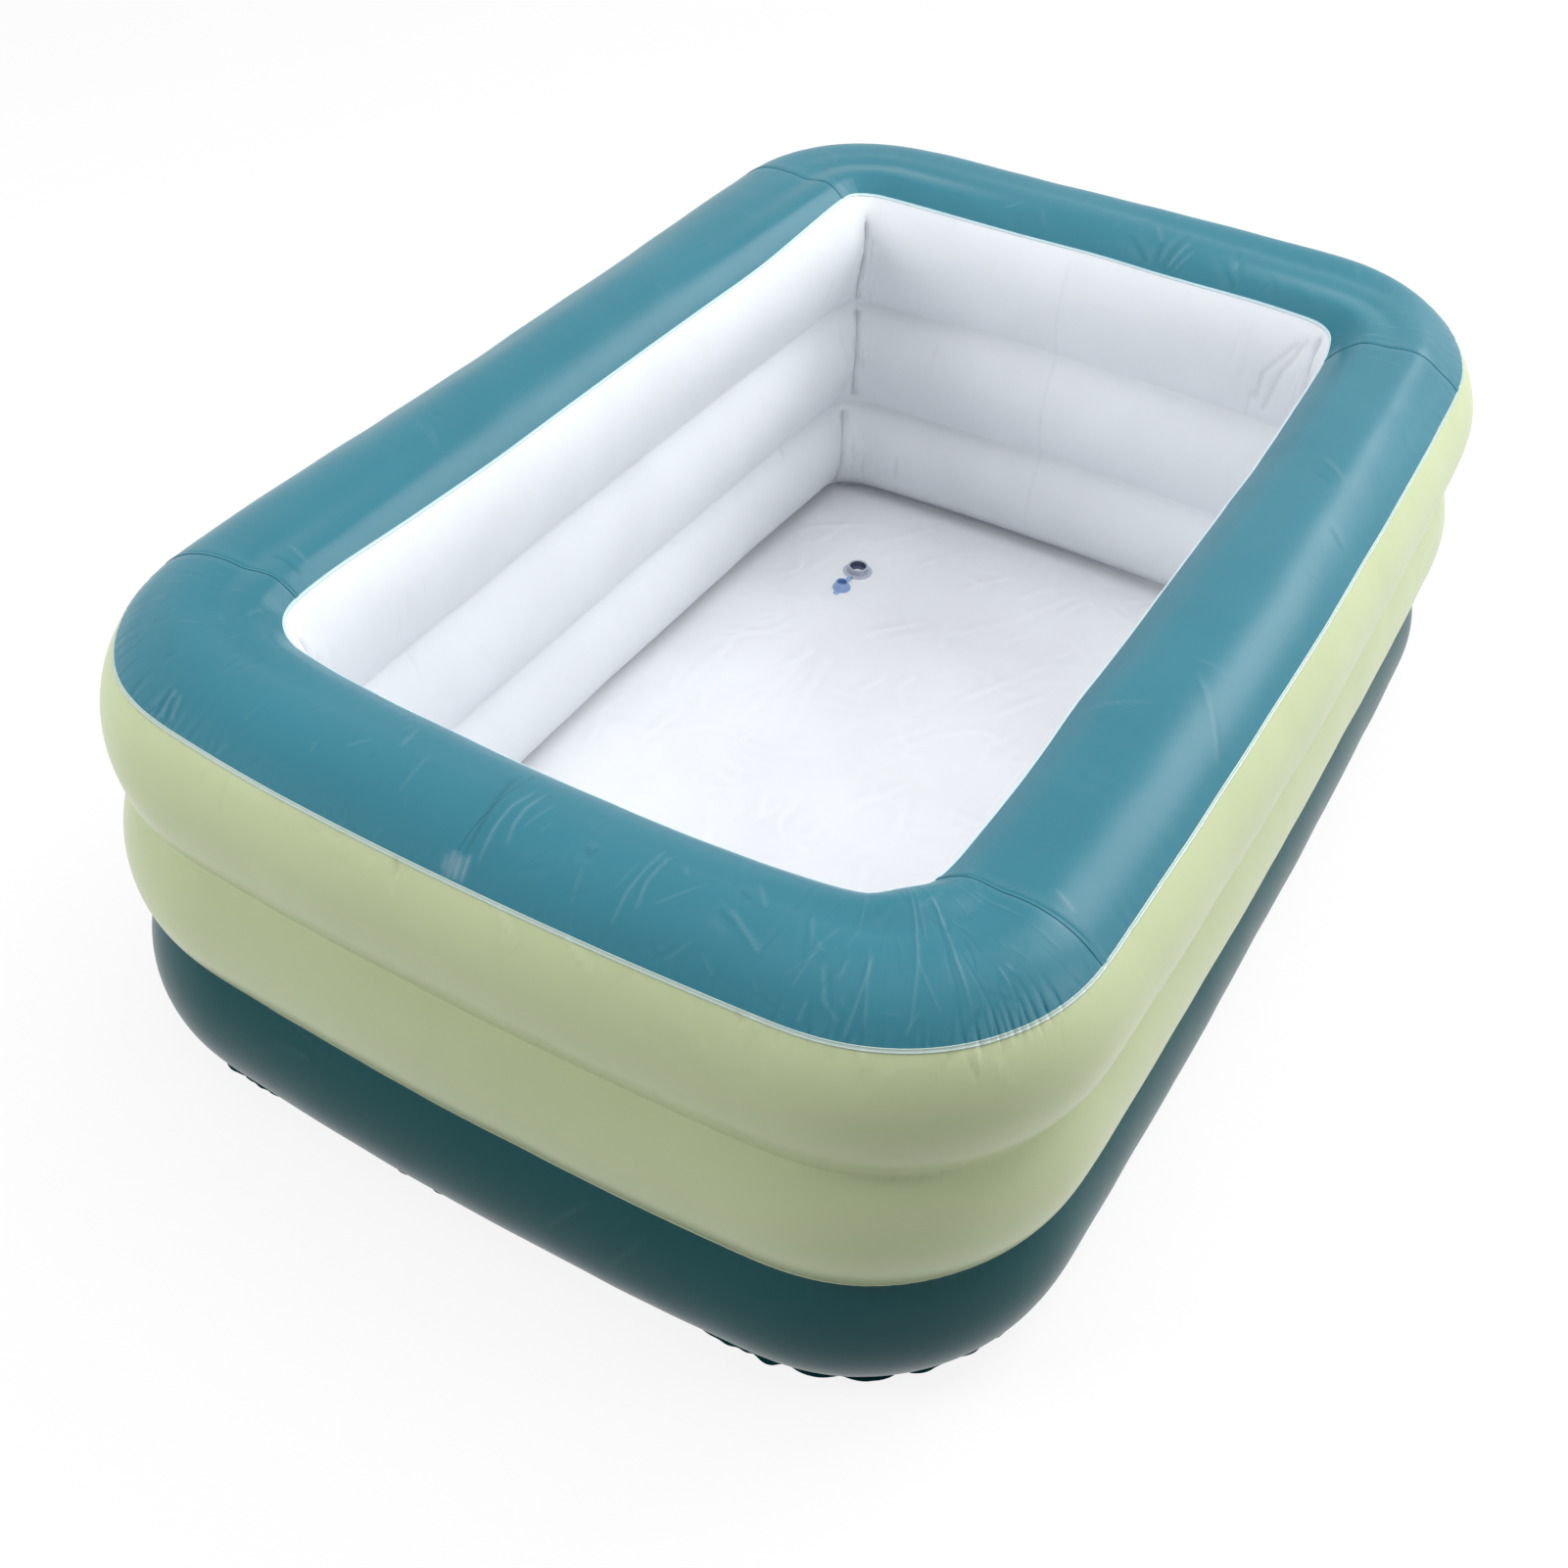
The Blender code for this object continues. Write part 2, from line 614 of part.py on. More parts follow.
def main():
    for old in list(bpy.data.objects):
        bpy.data.objects.remove(old)
    teal = colour_material("teal_vinyl", TEAL, 0.38)
    light = colour_material("light_green_vinyl", LIGHT_GREEN, 0.38)
    dark = colour_material("dark_green_vinyl", DARK_GREEN, 0.34)
    white = colour_material("white_vinyl", WHITE, 0.36)
    clear = colour_material("clear_vinyl", CLEAR, 0.2, alpha=0.6)
    blue = colour_material("clear_blue_vinyl", CLEAR_BLUE, 0.2, alpha=0.8)
    make_floor_sheet(white)
    walls = {wall.name: wall for wall in make_outer_walls(light, dark)}
    make_inner_wall(white)
    make_web("lower_web", LOWER_WEB_Z, white)
    make_web("upper_web", UPPER_WEB_Z, white)
    make_top_panels(teal)
    make_drain(clear, blue)
    for level, wall, z in valve_levels():
        make_valve(level, walls[wall], z, clear, blue, clear)


main()
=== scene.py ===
"""Looks of an inflatable family pool with three stacked air rings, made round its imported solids.

Every film of the wall is a grid on one chart: its columns run round the pool and its rows follow the
wall's section, from the outer skirt over the top ring to the inner skirt. Folds, puckers and creases
are placed on that chart by place (0 to 8: right side, back right corner, back side and so on,
anticlockwise) and by level (0 outer foot, 1 and 2 outer valleys, 3 outer seam, 4 inner seam, 5 and 6
inner valleys, 7 inner foot). Metres, +Z up.
"""
import math

import bpy
import numpy as np
from bpy.props import FloatProperty, FloatVectorProperty, PointerProperty
from mathutils import Matrix, Vector


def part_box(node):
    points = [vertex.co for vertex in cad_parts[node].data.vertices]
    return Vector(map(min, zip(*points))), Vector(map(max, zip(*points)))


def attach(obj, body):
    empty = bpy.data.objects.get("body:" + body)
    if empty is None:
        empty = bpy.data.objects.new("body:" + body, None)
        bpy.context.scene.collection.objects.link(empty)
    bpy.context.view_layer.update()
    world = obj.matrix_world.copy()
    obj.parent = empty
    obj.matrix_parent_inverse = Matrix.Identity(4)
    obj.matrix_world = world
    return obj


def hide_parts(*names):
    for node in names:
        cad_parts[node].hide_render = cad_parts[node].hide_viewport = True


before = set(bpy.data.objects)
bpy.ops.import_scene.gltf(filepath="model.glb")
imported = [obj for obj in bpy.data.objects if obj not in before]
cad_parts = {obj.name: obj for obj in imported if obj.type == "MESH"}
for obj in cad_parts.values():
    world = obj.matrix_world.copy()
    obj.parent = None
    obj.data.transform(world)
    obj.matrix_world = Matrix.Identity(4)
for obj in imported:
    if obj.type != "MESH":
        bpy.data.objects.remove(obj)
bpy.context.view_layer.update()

bl_info = {
    "name": "Inflatable family pool",
    "version": (1, 0, 0),
    "blender": (4, 5, 0),
    "location": "View3D > Sidebar > Pool",
    "description": "Films, weld bands, drain and valves of a rectangular pool with three air rings",
    "category": "Add Mesh",
}

MM = 0.001
STRETCHES = 8
LEVELS = 8
PATH_POINTS = 4800
SECTION_STEP = 0.5 * MM
CORNER_EASE = 22 * MM
VALLEY_EASE = 1.2 * MM
CORNERS = (1.5, 3.5, 5.5, 7.5)
CLOSING_PLACE = 2.5  # where the closed films meet themselves, at the middle of the back


def length_property(name, description, default):
    return FloatProperty(name=name, description=description, default=default, unit="LENGTH")


def angle_property(name, description, default):
    turn = math.radians(default)
    return FloatProperty(name=name, description=description, default=turn, unit="ROTATION")


class PoolWallSizes(bpy.types.PropertyGroup):
    """Sizes of the wall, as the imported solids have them."""
    length: length_property("Length", "Of the inflated pool", 2100 * MM)
    width: length_property("Width", "Of the inflated pool", 1430 * MM)
    height: length_property("Height", "Of the inflated pool", 650 * MM)
    corner_radius: length_property("Corner radius", "Of the wall's middle line", 172 * MM)
    long_bow: length_property("Long side bow", "How far the long sides bow out", 10 * MM)
    short_bow: length_property("Short side bow", "How far the ends bow out", 14 * MM)
    film: length_property("Film", "Thickness of the vinyl", 0.4 * MM)
    gap: length_property("Gap", "Between films that touch", 0.3 * MM)
    lower_ring: length_property("Lower ring", "Height of the lower web", 200 * MM)
    middle_ring: length_property("Middle ring", "From web to web", 210 * MM)
    crest_rise: length_property("Top crest", "From the upper web to its widest level", 105 * MM)
    web_width: length_property("Web width", "Between the outer and inner valleys", 207 * MM)
    bulge: length_property("Bulge", "Depth of a ring's bulge", 33 * MM)
    weld_land: length_property("Weld land", "Half the height of a web's weld", 2 * MM)
    outer_seam: angle_property("Outer seam", "Angle above the widest level", 46)
    inner_seam: angle_property("Inner seam", "Angle above the widest level", 45)
    seam_lap: length_property("Seam lap", "Wall film under the top panel", 6 * MM)
    corner_swell: length_property("Corner swell", "Of the top ring's inner side at the corners", 26 * MM)
    outer_swell: length_property("Outer swell", "Of the top ring's outer side at the back", 25 * MM)
    outer_foot_inset: length_property("Outer foot inset", "From the valley above", 8 * MM)
    outer_skirt: length_property("Outer skirt", "Widest weld skirt on the ground", 15 * MM)
    least_skirt: length_property("Least skirt", "Narrowest weld skirt on the ground", 4 * MM)
    inner_foot_inset: length_property("Inner foot inset", "From the valley above", 20 * MM)
    inner_skirt: length_property("Inner skirt", "Weld skirt on the floor sheet", 10 * MM)


class PoolFoldSizes(bpy.types.PropertyGroup):
    """How deep the films' folds, puckers and waves are, and how wide the welds."""
    wave_height: length_property("Waves", "Height of the film's slow waves", 0.5 * MM)
    pucker_depth: length_property("Puckers", "Depth at a corner's seam", 1.6 * MM)
    fold_depth: length_property("Folds", "Depth of the inner corners' folds", 11 * MM)
    fold_width: length_property("Fold width", "Of the inner corners' folds", 5.5 * MM)
    ridge_height: length_property("Ridges", "Height of the films' long ridges", 1.2 * MM)
    ridge_width: length_property("Ridge width", "Of the films' long ridges", 2.6 * MM)
    floor_cloud: length_property("Floor clouds", "Height of the floor's soft swells", 1.8 * MM)
    floor_ridge: length_property("Floor ridges", "Height of the floor's wrinkles", 2.4 * MM)
    floor_ridge_width: length_property("Floor ridge width", "Of the floor's wrinkles", 7 * MM)
    outer_weld: length_property("Outer weld", "Width of the outer seam's band", 5 * MM)
    inner_weld: length_property("Inner weld", "Width of the inner seam's band", 3.5 * MM)
    cross_weld: length_property("Cross weld", "Width of the weld between two top panels", 8 * MM)
    weld_bead: length_property("Weld bead", "Height of the bead along a band's edges", 0.7 * MM)


def colour_property(name, description, default):
    return FloatVectorProperty(
        name=name, description=description, default=default, size=3, subtype="COLOR", min=0, max=1
    )


class PoolColours(bpy.types.PropertyGroup):
    """Colours of the vinyl, as linear red, green and blue."""
    teal: colour_property("Teal", "Top panels", (0.034, 0.177, 0.235))
    light_green: colour_property("Light green", "Top and middle rings", (0.492, 0.555, 0.326))
    dark_green: colour_property("Dark green", "Bottom ring", (0.004, 0.066, 0.075))
    white: colour_property("White", "Inner wall", (0.780, 0.804, 0.838))
    floor: colour_property("Floor", "Floor sheet", (0.795, 0.807, 0.832))
    weld: colour_property("Weld", "Welded edge at the seams", (0.430, 0.540, 0.490))
    rim: colour_property("Rim", "Welded edge at the inner rim", (0.560, 0.740, 0.780))
    # Painted highlight: the pale cream stands in for light caught on the light green's lower edge.
    edge_highlight: colour_property("Cream", "Bead along the light green's lower edge", (0.560, 0.600, 0.400))
    clear: colour_property("Clear", "Drain and valves", (0.760, 0.830, 0.940))
    blue: colour_property("Blue", "Plug and stoppers", (0.420, 0.600, 0.930))
    # Painted shade: the dark colour inside the drain's bore stands in for the shade there.
    shade: colour_property("Shade", "Inside of the drain", (0.100, 0.125, 0.200))


class PoolFittingSizes(bpy.types.PropertyGroup):
    """Sizes of the drain, its plug and the inflation valves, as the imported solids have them."""
    drain_x: length_property("Drain x", "Place of the drain", -277 * MM)
    drain_y: length_property("Drain y", "Place of the drain", 537 * MM)
    flange_radius: length_property("Flange radius", "Of the drain", 28 * MM)
    flange_height: length_property("Flange height", "Of the drain", 1.0 * MM)
    collar_radius: length_property("Collar radius", "Of the drain", 19.5 * MM)
    collar_flare: length_property("Collar flare", "At the drain's flange", 1.5 * MM)
    collar_height: length_property("Collar height", "Of the drain", 13 * MM)
    bore_radius: length_property("Bore radius", "Of the drain", 15.5 * MM)
    outlet_radius: length_property("Outlet radius", "Of the drain", 8 * MM)
    drain_floor: length_property("Drain floor", "Thickness", 1.5 * MM)
    plug_fit: length_property("Plug fit", "Play in the bore", 0.6 * MM)
    plug_tip: length_property("Plug tip", "Radius", 11.5 * MM)
    plug_nose: length_property("Plug nose", "Length", 11 * MM)
    plug_wall: length_property("Plug wall", "Thickness", 2.0 * MM)
    plug_lid: length_property("Plug lid", "Radius", 17.0 * MM)
    plug_lid_height: length_property("Plug lid height", "Thickness", 2.5 * MM)
    plug_tab: length_property("Plug tab", "Length", 8 * MM)
    plug_tab_width: length_property("Plug tab width", "Width", 10 * MM)
    plug_tab_height: length_property("Plug tab height", "Thickness", 1.6 * MM)
    plug_reach: length_property("Plug reach", "From the drain's centre to the open plug's", 64 * MM)
    strap_width: length_property("Strap width", "Of the drain's strap", 8 * MM)
    strap_height: length_property("Strap height", "Thickness of the drain's strap", 1.2 * MM)
    knuckle: length_property("Strap knuckle", "Level stretch beside the strap's fold", 1.5 * MM)
    strap_root: length_property("Strap root", "How far a strap runs into its piece", 3 * MM)
    valve_flange: length_property("Valve flange", "Radius", 17 * MM)
    valve_flange_height: length_property("Valve flange height", "Thickness", 1.0 * MM)
    valve_neck: length_property("Valve neck", "Radius", 8.2 * MM)
    valve_bore: length_property("Valve bore", "Radius", 6.4 * MM)
    valve_outside: length_property("Valve outside", "Neck beyond the film", 5 * MM)
    valve_inside: length_property("Valve inside", "Neck within the ring", 18 * MM)
    stopper_fit: length_property("Stopper fit", "Play in the bore", 0.3 * MM)
    stopper_lid: length_property("Stopper lid", "Radius", 8.8 * MM)
    stopper_lid_height: length_property("Stopper lid height", "Thickness", 1.4 * MM)
    stopper_nose: length_property("Stopper nose", "Length", 7 * MM)
    stopper_tip: length_property("Stopper tip", "Radius", 4.6 * MM)
    stopper_wall: length_property("Stopper wall", "Thickness", 1.4 * MM)
    stopper_tab: length_property("Stopper tab", "Length", 5 * MM)
    stopper_tab_width: length_property("Stopper tab width", "Width", 6 * MM)
    stopper_hinge: length_property("Stopper hinge", "From the bore's axis to the strap's fold", 14 * MM)
    stopper_strap: length_property("Stopper strap", "Width", 5 * MM)
    stopper_strap_height: length_property("Stopper strap height", "Thickness", 1.0 * MM)
    flap_hinge: length_property("Flap hinge", "From the bore's axis to the flap's fold", 9.6 * MM)
    flap_height: length_property("Flap height", "Thickness", 0.8 * MM)
    flap_tab_width: length_property("Flap tab width", "Width", 6 * MM)
    flap_lug_height: length_property("Flap lug height", "Above the flap", 1.6 * MM)
    flap_lug_length: length_property("Flap lug length", "Along the neck", 2.5 * MM)
    flat_radius: length_property("Flat radius", "Of the film round a valve", 20 * MM)
    flat_run_out: length_property("Flat run-out", "From flat to full bulge", 46 * MM)


class PoolStage(bpy.types.PropertyGroup):
    """Camera and lamps."""
    azimuth: angle_property("Azimuth", "Camera", 27.923)
    elevation: angle_property("Elevation", "Camera", 41.745)
    roll: angle_property("Roll", "Camera", 3.486)
    distance: length_property("Distance", "Camera", 3.0755)
    target: FloatVectorProperty(
        name="Target", description="Camera", default=(-0.0879, -0.0673, 0), size=3, subtype="TRANSLATION"
    )
    lens: FloatProperty(name="Lens", description="Focal length", default=42.487, unit="CAMERA")
    fill: FloatProperty(name="Fill", description="Strength of the room's light", default=0.34)
    ground_glow: FloatProperty(name="Ground glow", description="Share of plain white", default=0.85)
    ground_bounce: FloatProperty(name="Ground bounce", description="Share given back", default=0.55)
    right_lamp: FloatProperty(name="Right lamp", description="Power", default=24, unit="POWER")
    key_lamp: FloatProperty(name="Key lamp", description="Power", default=104, unit="POWER")
    top_lamp: FloatProperty(name="Top lamp", description="Power", default=164, unit="POWER")
    side_lamp: FloatProperty(name="Side lamp", description="Power", default=34, unit="POWER")
    glare_lamp: FloatProperty(name="Glare lamp", description="Power", default=380, unit="POWER")


def sizes():
    return bpy.context.scene.pool_sizes


def folds():
    return bpy.context.scene.pool_folds


def colours():
    return bpy.context.scene.pool_colours


def fittings():
    return bpy.context.scene.pool_fittings


# Selection and modelling helpers

def deselect_all():
    if bpy.context.mode != "OBJECT":
        bpy.ops.object.mode_set(mode="OBJECT")
    bpy.ops.object.select_all(action="DESELECT")


def choose(piece):
    deselect_all()
    piece.select_set(True)
    bpy.context.view_layer.objects.active = piece


def edit_all(piece):
    choose(piece)
    bpy.ops.object.mode_set(mode="EDIT")
    bpy.ops.mesh.select_all(action="SELECT")


def to_object():
    bpy.ops.object.mode_set(mode="OBJECT")


def apply_modifier(piece, kind, **values):
    choose(piece)
    modifier = piece.modifiers.new(kind.title(), kind)
    for key, value in values.items():
        setattr(modifier, key, value)
    bpy.ops.object.modifier_apply(modifier=modifier.name)


def settle(piece):
    """Put the piece's place and turn into its mesh."""
    choose(piece)
    bpy.ops.object.transform_apply(location=True, rotation=True, scale=True)


def smooth(piece, degrees):
    choose(piece)
    bpy.ops.object.shade_smooth_by_angle(angle=math.radians(degrees))


def rename(piece, name):
    piece.name = name
    piece.data.name = name


def dress(piece, material, body, *nodes, slot=None):
    """Give a finished piece its material, its body and the solids that it stands for."""
    piece.data.materials.clear()
    piece.data.materials.append(material)
    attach(piece, body)
    if nodes:
        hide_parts(*nodes)


# The wall's chart

def middle_line(places):
    """Plan points of the wall's middle line at places from 0 to 8."""
    size = sizes()
    crest = size.web_width / 2 + size.bulge
    line_x = size.width / 2 - size.long_bow - crest
    line_y = size.length / 2 - size.short_bow - crest
    places = places % STRETCHES
    quarter = np.floor(places / 2)
    part = places - 2 * quarter
    long_side = quarter % 2 == 0
    half_x = np.where(long_side, line_x, line_y)
    half_y = np.where(long_side, line_y, line_x) - size.corner_radius
    bow = np.where(long_side, size.long_bow, size.short_bow)
    share = np.clip(2 * part - 1, -1, 1)
    turn = np.clip(part - 1, 0, 1) * math.pi / 2
    x = half_x + bow * (1 - share * share) - size.corner_radius * (1 - np.cos(turn))
    y = share * half_y + size.corner_radius * np.sin(turn)
    angle = quarter * math.pi / 2
    return x * np.cos(angle) - y * np.sin(angle), x * np.sin(angle) + y * np.cos(angle)


def blurred(values, sigma):
    """Values round a loop, smoothed by a bell curve that is sigma samples wide."""
    count = len(values)
    steps = np.minimum(np.arange(count), count - np.arange(count))
    bell = np.exp(-0.5 * (steps / sigma) ** 2)
    return np.fft.irfft(np.fft.rfft(values) * np.fft.rfft(bell / bell.sum()), count)


def bulge_points(low, high, low_offset, high_offset, side):
    """A ring's bulge between two welds, as (offset, height) points from low to high."""
    size = sizes()
    crest = size.web_width / 2 + size.bulge
    middle = (low + high) / 2
    half = (high - low) / 2
    points = []
    for share in np.linspace(-1, 1, 81):
        depth = crest - (low_offset if share < 0 else high_offset)
        radius = (half * half + depth * depth) / (2 * depth)
        offset = crest - radius + math.sqrt(radius * radius - (share * half) ** 2)
        points.append((side * offset, middle + share * half))
    return points


def section_points():
    """The wall's section from the outer skirt to the inner one, and which points are the levels."""
    size = sizes()
    valley = size.web_width / 2
    crest = valley + size.bulge
    floor_z = size.film + size.gap + size.film / 2
    lower_web = size.lower_ring
    upper_web = lower_web + size.middle_ring
    crest_z = upper_web + size.crest_rise
    land = size.weld_land
    up = size.height - size.film / 2 - crest_z - size.film - size.gap
    outer_foot = valley - size.outer_foot_inset
    inner_foot = valley - size.inner_foot_inset
    low = upper_web + land

    def top_arc(first, last, count):
        turns = np.linspace(first, last, count)
        return [(crest * math.cos(turn), crest_z + up * math.sin(turn)) for turn in turns]

    def side_arc(side):
        points = bulge_points(low, 2 * crest_z - low, valley, valley, side)
        return [point for point in points if point[1] < crest_z]

    inner = math.pi - size.inner_seam
    stretches = [
        [(outer_foot + size.outer_skirt, floor_z), (outer_foot, floor_z)],
        bulge_points(floor_z, lower_web - land, outer_foot, valley, 1) + [(valley, lower_web)],
        bulge_points(lower_web + land, upper_web - land, valley, valley, 1) + [(valley, upper_web)],
        side_arc(1) + top_arc(0, size.outer_seam, 40),
        top_arc(size.outer_seam, inner, 90),
        top_arc(inner, math.pi, 40) + side_arc(-1)[::-1] + [(-valley, upper_web)],
        bulge_points(lower_web + land, upper_web - land, valley, valley, -1)[::-1]
        + [(-valley, lower_web)],
        bulge_points(floor_z, lower_web - land, inner_foot, valley, -1)[::-1],
    ]
    points = []
    levels = []
    for stretch in stretches:
        points += stretch
        levels.append(len(points) - 1)
    points.append((-inner_foot - size.inner_skirt, floor_z))
    return np.array(points), levels


class Wall:
    """The chart of the wall: runs are metres along its middle line, drops metres along its section."""

    def __init__(self):
        places = np.linspace(0, STRETCHES, PATH_POINTS + 1)
        x, y = middle_line(places)
        length = np.concatenate(([0], np.cumsum(np.hypot(np.diff(x), np.diff(y)))))
        self.length = length[-1]
        self.runs = np.linspace(0, self.length, PATH_POINTS, endpoint=False)
        self.places = np.interp(self.runs, length, places)
        sigma = CORNER_EASE / (self.length / PATH_POINTS)
        self.x = blurred(np.interp(self.runs, length, x), sigma)
        self.y = blurred(np.interp(self.runs, length, y), sigma)
        along_x = np.roll(self.x, -1) - np.roll(self.x, 1)
        along_y = np.roll(self.y, -1) - np.roll(self.y, 1)
        step = np.hypot(along_x, along_y)
        self.out_x = along_y / step
        self.out_y = -along_x / step
        angle = np.unwrap(np.arctan2(self.out_y, self.out_x))
        turn = np.diff(np.append(angle, angle[0] + 2 * math.pi))
        self.curve = blurred(turn / (self.length / PATH_POINTS), sigma / 2)
        self.make_section()

    def make_section(self):
        line, levels = section_points()
        steps = np.hypot(*np.diff(line, axis=0).T)
        length = np.concatenate(([0], np.cumsum(steps)))
        self.levels = length[levels]
        self.end = length[-1]
        self.drops = np.arange(0, self.end + SECTION_STEP, SECTION_STEP)
        keep = np.concatenate(([True], steps > 0))
        offset = np.interp(self.drops, length[keep], line[keep, 0])
        height = np.interp(self.drops, length[keep], line[keep, 1])
        bell = np.exp(-0.5 * (np.arange(-12, 13) * SECTION_STEP / VALLEY_EASE) ** 2)
        bell /= bell.sum()
        pad = len(bell) // 2
        self.offset = np.convolve(np.pad(offset, pad, "reflect", reflect_type="odd"), bell, "valid")
        self.height = np.convolve(np.pad(height, pad, "reflect", reflect_type="odd"), bell, "valid")
        out = np.gradient(self.height)
        up = -np.gradient(self.offset)
        step = np.hypot(out, up)
        self.normal_out = out / step
        self.normal_up = up / step

        self.make_swell()

    def make_swell(self):
        """The top ring is fatter at the inner side of a corner, and its inner seam wanders."""
        size = sizes()
        sigma = CORNER_EASE / (self.length / PATH_POINTS)
        crest_z = size.lower_ring + size.middle_ring + size.crest_rise
        out, rise = self.offset, self.height - crest_z
        reach = np.hypot(out, rise)
        self.swell_out, self.swell_up = out / reach, rise / reach
        self.swells = []
        for shares, most, side, angles in (
            (INNER_SWELL_SHARES, size.corner_swell, -1, INNER_ANGLES),
            (SHOULDER_SWELL_SHARES, size.outer_swell, 1, SHOULDER_ANGLES),
            (WAIST_SWELL_SHARES, size.outer_swell, 1, WAIST_ANGLES),
        ):
            places, share = zip(*shares)
            swell = blurred(np.interp(self.places, places, share), 2 * sigma) * most
            self.swells.append((swell, plateau(np.degrees(np.arctan2(rise, side * out)), angles)))
        crest = size.web_width / 2 + size.bulge
        self.slides = []
        for table, level in ((RIM_SLIDE, 4), (SEAM_SLIDE, 3)):
            places, degrees = zip(*table)
            slide = blurred(np.radians(np.interp(self.places, places, degrees)), 2 * sigma) * crest
            near = np.clip(1 - np.abs(self.drops - self.levels[level]) / SLIDE_REACH, 0, 1)
            self.slides.append((slide, near * near * (3 - 2 * near)))

    def run(self, place):
        """Metres along the middle line at a place from 0 to 8."""
        places = np.append(self.places, STRETCHES)
        return np.interp(place % STRETCHES, places, np.append(self.runs, self.length))

    def place(self, run):
        places = np.append(self.places, STRETCHES)
        return np.interp(run % self.length, np.append(self.runs, self.length), places)

    def drop(self, level):
        """Metres along the section at a level from 0 to 7."""
        return np.interp(level, np.arange(LEVELS), self.levels)

    def level(self, drop):
        return np.interp(drop, self.levels, np.arange(LEVELS))

    def apart(self, runs, run):
        """Signed way round the wall from a run, at most half its length."""
        return (runs - run + self.length / 2) % self.length - self.length / 2

    def round(self, values, runs):
        stops = np.append(self.runs, self.length)
        return np.interp(runs % self.length, stops, np.append(values, values[0]))

    def section(self, values, drops):
        return np.interp(drops, self.drops, values)

    def stretch(self, run, drop):
        """How much longer the film is there than the middle line beside it."""
        stretch = 1 + self.section(self.offset, drop) * self.round(self.curve, run)
        return np.maximum(stretch, LEAST_STRETCH)

    def plan(self, runs, offsets, heights):
        """Points at offsets from the middle line and heights, both as rows by columns."""
        x = self.round(self.x, runs)
        y = self.round(self.y, runs)
        out_x = self.round(self.out_x, runs)
        out_y = self.round(self.out_y, runs)
        size = np.hypot(out_x, out_y)
        offsets, heights = np.broadcast_arrays(offsets, heights)
        return np.stack((x + out_x / size * offsets, y + out_y / size * offsets, heights), axis=-1)

    def points(self, runs, drops, rise):
        """Points of a film that rises from the section by rise, given as rows by columns."""
        slid = drops[:, None]
        for slide, weight in self.slides:
            slid = slid + self.round(slide, runs)[None, :] * self.section(weight, drops)[:, None]
        drops = slid
        swell = 0
        for most, weight in self.swells:
            swell = swell + self.round(most, runs)[None, :] * self.section(weight, drops)
        offset = self.section(self.offset, drops) + rise * self.section(self.normal_out, drops)
        height = self.section(self.height, drops) + rise * self.section(self.normal_up, drops)
        offset = offset + swell * self.section(self.swell_out, drops)
        height = height + swell * self.section(self.swell_up, drops)
        return self.plan(runs, offset, height)


def plateau(values, edges):
    """0 before the first edge and after the last, 1 between the middle two, eased between them."""
    rise = np.clip((values - edges[0]) / (edges[1] - edges[0]), 0, 1)
    fall = np.clip((edges[3] - values) / (edges[3] - edges[2]), 0, 1)
    return rise * rise * (3 - 2 * rise) * fall * fall * (3 - 2 * fall)


LEAST_STRETCH = 0.15
SLIDE_REACH = 95 * MM

# Where the swellings of the top ring begin, are whole, cease to be whole and end, in degrees above its
# widest level
INNER_ANGLES = (-30, 45, 56, 79)
SHOULDER_ANGLES = (15, 45, 60, 88)
WAIST_ANGLES = (-44, -15, 15, 45)

# How much fatter the top ring is than its section, on its inner side: place, share of the corner swell
INNER_SWELL_SHARES = (
    (0, 0.40), (0.1, 0.26), (0.3, 0.30), (0.5, 0.30), (0.75, 0.24), (0.9, 0.35), (1.1, 0.6), (1.5, 0.75),
    (2, 0.9), (2.33, 0), (2.67, 0), (3, 1), (4, 1), (4.33, 0), (4.67, 0), (5, 0.9), (5.5, 0.7),
    (5.8, 0.55),
    (6.05, 0.3), (6.2, 0.2), (6.45, 0.2), (6.7, 0.14), (6.9, 0.3), (7, 0.54), (7.2, 0.85), (7.5, 1.15),
    (7.85, 0.85), (8, 0.42),
)

# The same on its outer shoulder and at its widest level: place, share of the outer swell
SHOULDER_SWELL_SHARES = (
    (0, 0), (0.5, 0), (0.9, -0.3), (1.1, -0.6), (1.3, -0.4), (1.5, 0.1), (1.75, 0.7), (2, 1),
    (2.3, 0.75),
    (2.6, 0.5), (3, 0.45), (3.5, 0.45), (3.9, 0.35), (4.1, 0.1), (4.3, -0.2), (4.6, -0.3), (4.75, -0.15),
    (4.9, 0.1), (5.05, 0.1), (5.3, -0.25), (5.5, -0.5), (5.75, -0.25), (5.95, 0), (8, 0),
)
WAIST_SWELL_SHARES = (
    (0, 0), (0.5, 0), (0.9, -0.3), (1.1, -0.6), (1.3, -0.4), (1.6, 0), (4.1, 0), (4.3, -0.2),
    (4.6, -0.3),
    (4.75, -0.15), (4.9, 0.1), (5.05, 0.1), (5.3, -0.25), (5.5, -0.5), (5.75, -0.25), (5.95, 0), (8, 0),
)

# How far the outer seam lies higher on the ring than the section has it: place, degrees
SEAM_SLIDE = (
    (0, 0), (4.8, 0), (5.05, -3), (5.3, -8), (5.5, -7), (5.7, 1), (5.85, 4), (6.05, 1), (6.2, 0), (8, 0),
)

# How far the inner seam lies lower on the ring than the section has it: place, degrees
RIM_SLIDE = (
    (0, 2), (0.15, 5), (0.3, 10), (0.5, 12), (0.9, 12), (1.1, 13), (1.3, 9), (1.5, 3), (1.75, 2),
    (2, 0), (2.15, -1), (2.35, -1), (2.5, -2), (2.75, 0), (3, 1), (3.5, 0), (4, -3), (4.2, 4), (4.7, 4),
    (4.85, 1), (4.95, -2), (5.05, -1), (5.5, 0), (5.8, 3), (6, 0), (8, 2),
)

